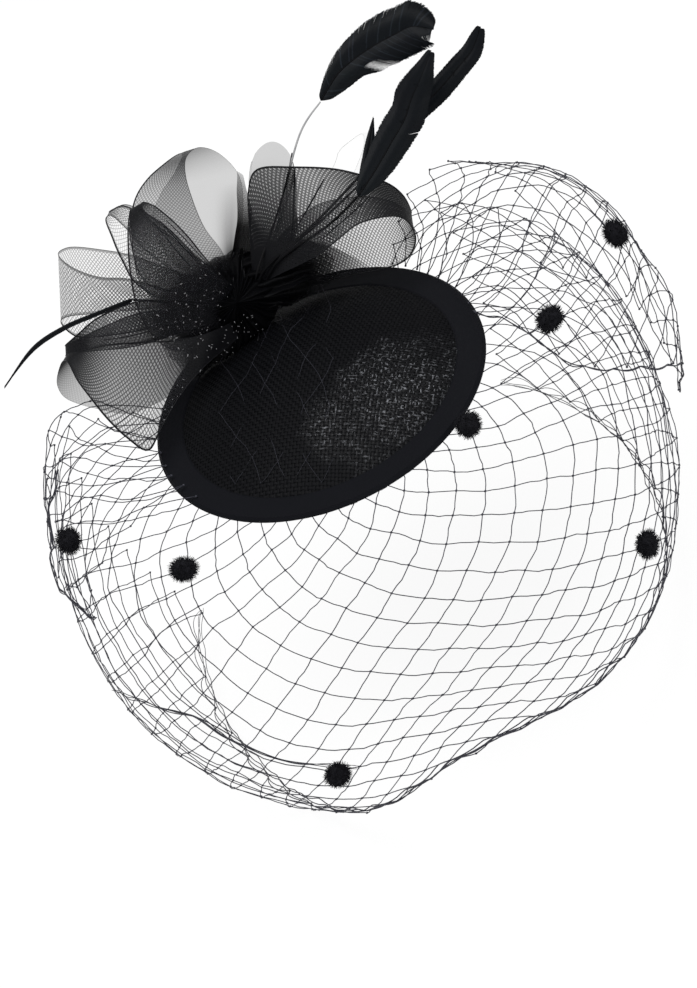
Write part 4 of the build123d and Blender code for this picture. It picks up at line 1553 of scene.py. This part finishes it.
class FASCINATOR_OT_clips(bpy.types.Operator):
    """Finish the two comb clips: steel jaws, coiled springs, felt pads and stitches"""

    bl_idname = "fascinator.clips"
    bl_label = "Clips"

    def execute(self, context):
        for name, place in CLIP_PLACES.items():
            coil = [SPRING_UPPER_END]
            for step in range(SPRING_STEPS + 1):
                share = step / SPRING_STEPS
                turn = radians(90 - SPRING_TURN * share)
                side = SPRING_SIDE * (1 - 2 * share)
                coil.append(Vector((SPRING_COIL * cos(turn), side, SPRING_COIL * sin(turn))))
            shape = Shape()
            shape.tube([place @ point for point in coil], SPRING_WIRE, 8)
            make_piece(shape, name + "_clip_coil", ["metal"], "clip_steel", name + "_clip_spring")
            shape = Shape()
            line = [coil[-1].lerp(SPRING_LOWER_END, step / LEG_STEPS) for step in range(LEG_STEPS + 1)]
            shape.tube([place @ point for point in line], SPRING_WIRE, 8)
            leg = shape.build(name + "_clip_spring_leg", ["metal"])
            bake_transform(leg)
            dress({f"{name}_clip_{part}": look for part, look in CLIP_LOOKS.items()})
        return {"FINISHED"}


# ------------------------------------------------------------------ the stage


FLOOR_HALF = 6.0
FLOOR_GAP = 0.0005
FLOOR_GLOW = 0.86  # the share of plain white in what is seen of the floor
WHITE = (1.0, 1.0, 1.0, 1.0)
SENSOR = 36.0
# each lamp's place in mm, its power and its size
LAMPS = {
    "key_lamp": (BACK * 700 - RIGHT * 500 + UP * 650, 9.0, 0.7),
    "fill_lamp": (BACK * 800 + RIGHT * 800 + UP * 100, 4.0, 0.9),
}


def make_floor():
    """A pale floor just under the headpiece, clear from below."""
    height = cad_box[0][2] - FLOOR_GAP
    corners = [(x * FLOOR_HALF, y * FLOOR_HALF, height) for x, y in ((-1, -1), (1, -1), (1, 1), (-1, 1))]
    mesh = bpy.data.meshes.new("floor")
    mesh.from_pydata(corners, [], [(0, 1, 2, 3)])
    made = Finish("pale_floor")
    made.drive("Base Color", (*colours().floor, 1.0))
    made.drive("Roughness", 0.9)
    lit = made.node("ShaderNodeEmission", None, {"Color": WHITE, "Strength": 1.0})
    paint = Value(made, made.shader.outputs[0])
    joined = made.node("ShaderNodeMixShader", None, {0: made.straight_rays() * FLOOR_GLOW, 1: paint, 2: lit})
    clear = made.node("ShaderNodeBsdfTransparent")
    below = made.node("ShaderNodeNewGeometry", None, None, "Backfacing")
    joined = made.node("ShaderNodeMixShader", None, {0: below, 1: joined, 2: clear})
    made.feed(made.tree.nodes["Material Output"].inputs[0], joined)
    mesh.materials.append(made.material)
    floor = bpy.data.objects.new("floor", mesh)
    bpy.context.scene.collection.objects.link(floor)


class FASCINATOR_OT_stage(bpy.types.Operator):
    """Set the floor, the lamps, the world and the camera"""

    bl_idname = "fascinator.stage"
    bl_label = "Stage"

    def execute(self, context):
        scene = context.scene
        make_floor()
        scene.world = bpy.data.worlds.new("soft_studio")
        scene.world.use_nodes = True
        sky = Nodes(scene.world.node_tree, "Background")
        sky.drive("Color", WHITE)
        sky.drive("Strength", 0.75 + 0.25 * sky.straight_rays())
        for name, (place, strength, size) in LAMPS.items():
            lamp = bpy.data.lights.new(name, "AREA")
            lamp.energy = strength
            lamp.size = size
            stand = bpy.data.objects.new(name, lamp)
            stand.location = place * MM
            stand.rotation_euler = (-place).to_track_quat("-Z", "Y").to_euler()
            scene.collection.objects.link(stand)

        camera = bpy.data.cameras.new("view")
        camera.sensor_width = SENSOR
        camera.lens = FOCAL_DOTS / FRAME_HEIGHT * SENSOR
        camera.clip_start = 0.05
        camera.clip_end = 20.0
        seat = bpy.data.objects.new("view", camera)
        turn = Matrix((RIGHT, UP, BACK)).transposed().to_4x4()
        seat.matrix_world = Matrix.Translation(EYE * MM) @ turn
        scene.collection.objects.link(seat)
        scene.camera = seat
        scene.view_settings.view_transform = "Standard"
        return {"FINISHED"}


# ------------------------------------------------------------------ the panel and the run


OPERATORS = (
    FASCINATOR_OT_dome_weave,
    FASCINATOR_OT_face_veil,
    FASCINATOR_OT_veil_layers,
    FASCINATOR_OT_crin_loops,
    FASCINATOR_OT_crin_knot,
    FASCINATOR_OT_feathers,
    FASCINATOR_OT_chenille_dots,
    FASCINATOR_OT_clips,
    FASCINATOR_OT_stage,
)


class FASCINATOR_PT_panel(bpy.types.Panel):
    """Sizes, colours and steps of the headpiece"""

    bl_idname = "FASCINATOR_PT_panel"
    bl_label = "Fascinator"
    bl_space_type = "VIEW_3D"
    bl_region_type = "UI"
    bl_category = "Fascinator"

    def draw(self, context):
        layout = self.layout
        for group in (sizes(), colours()):
            for name in type(group).__annotations__:
                layout.prop(group, name)
        for operator in OPERATORS:
            layout.operator(operator.bl_idname)


CLASSES = (FascinatorSizes, FascinatorColours, *OPERATORS, FASCINATOR_PT_panel)


def register():
    for made in CLASSES:
        bpy.utils.register_class(made)
    bpy.types.Scene.fascinator_sizes = bpy.props.PointerProperty(type=FascinatorSizes)
    bpy.types.Scene.fascinator_colours = bpy.props.PointerProperty(type=FascinatorColours)


def unregister():
    del bpy.types.Scene.fascinator_colours
    del bpy.types.Scene.fascinator_sizes
    for made in reversed(CLASSES):
        bpy.utils.unregister_class(made)


def main():
    register()
    for operator in OPERATORS:
        group, name = operator.bl_idname.split(".")
        getattr(getattr(bpy.ops, group), name)()


if __name__ == "__main__":
    main()
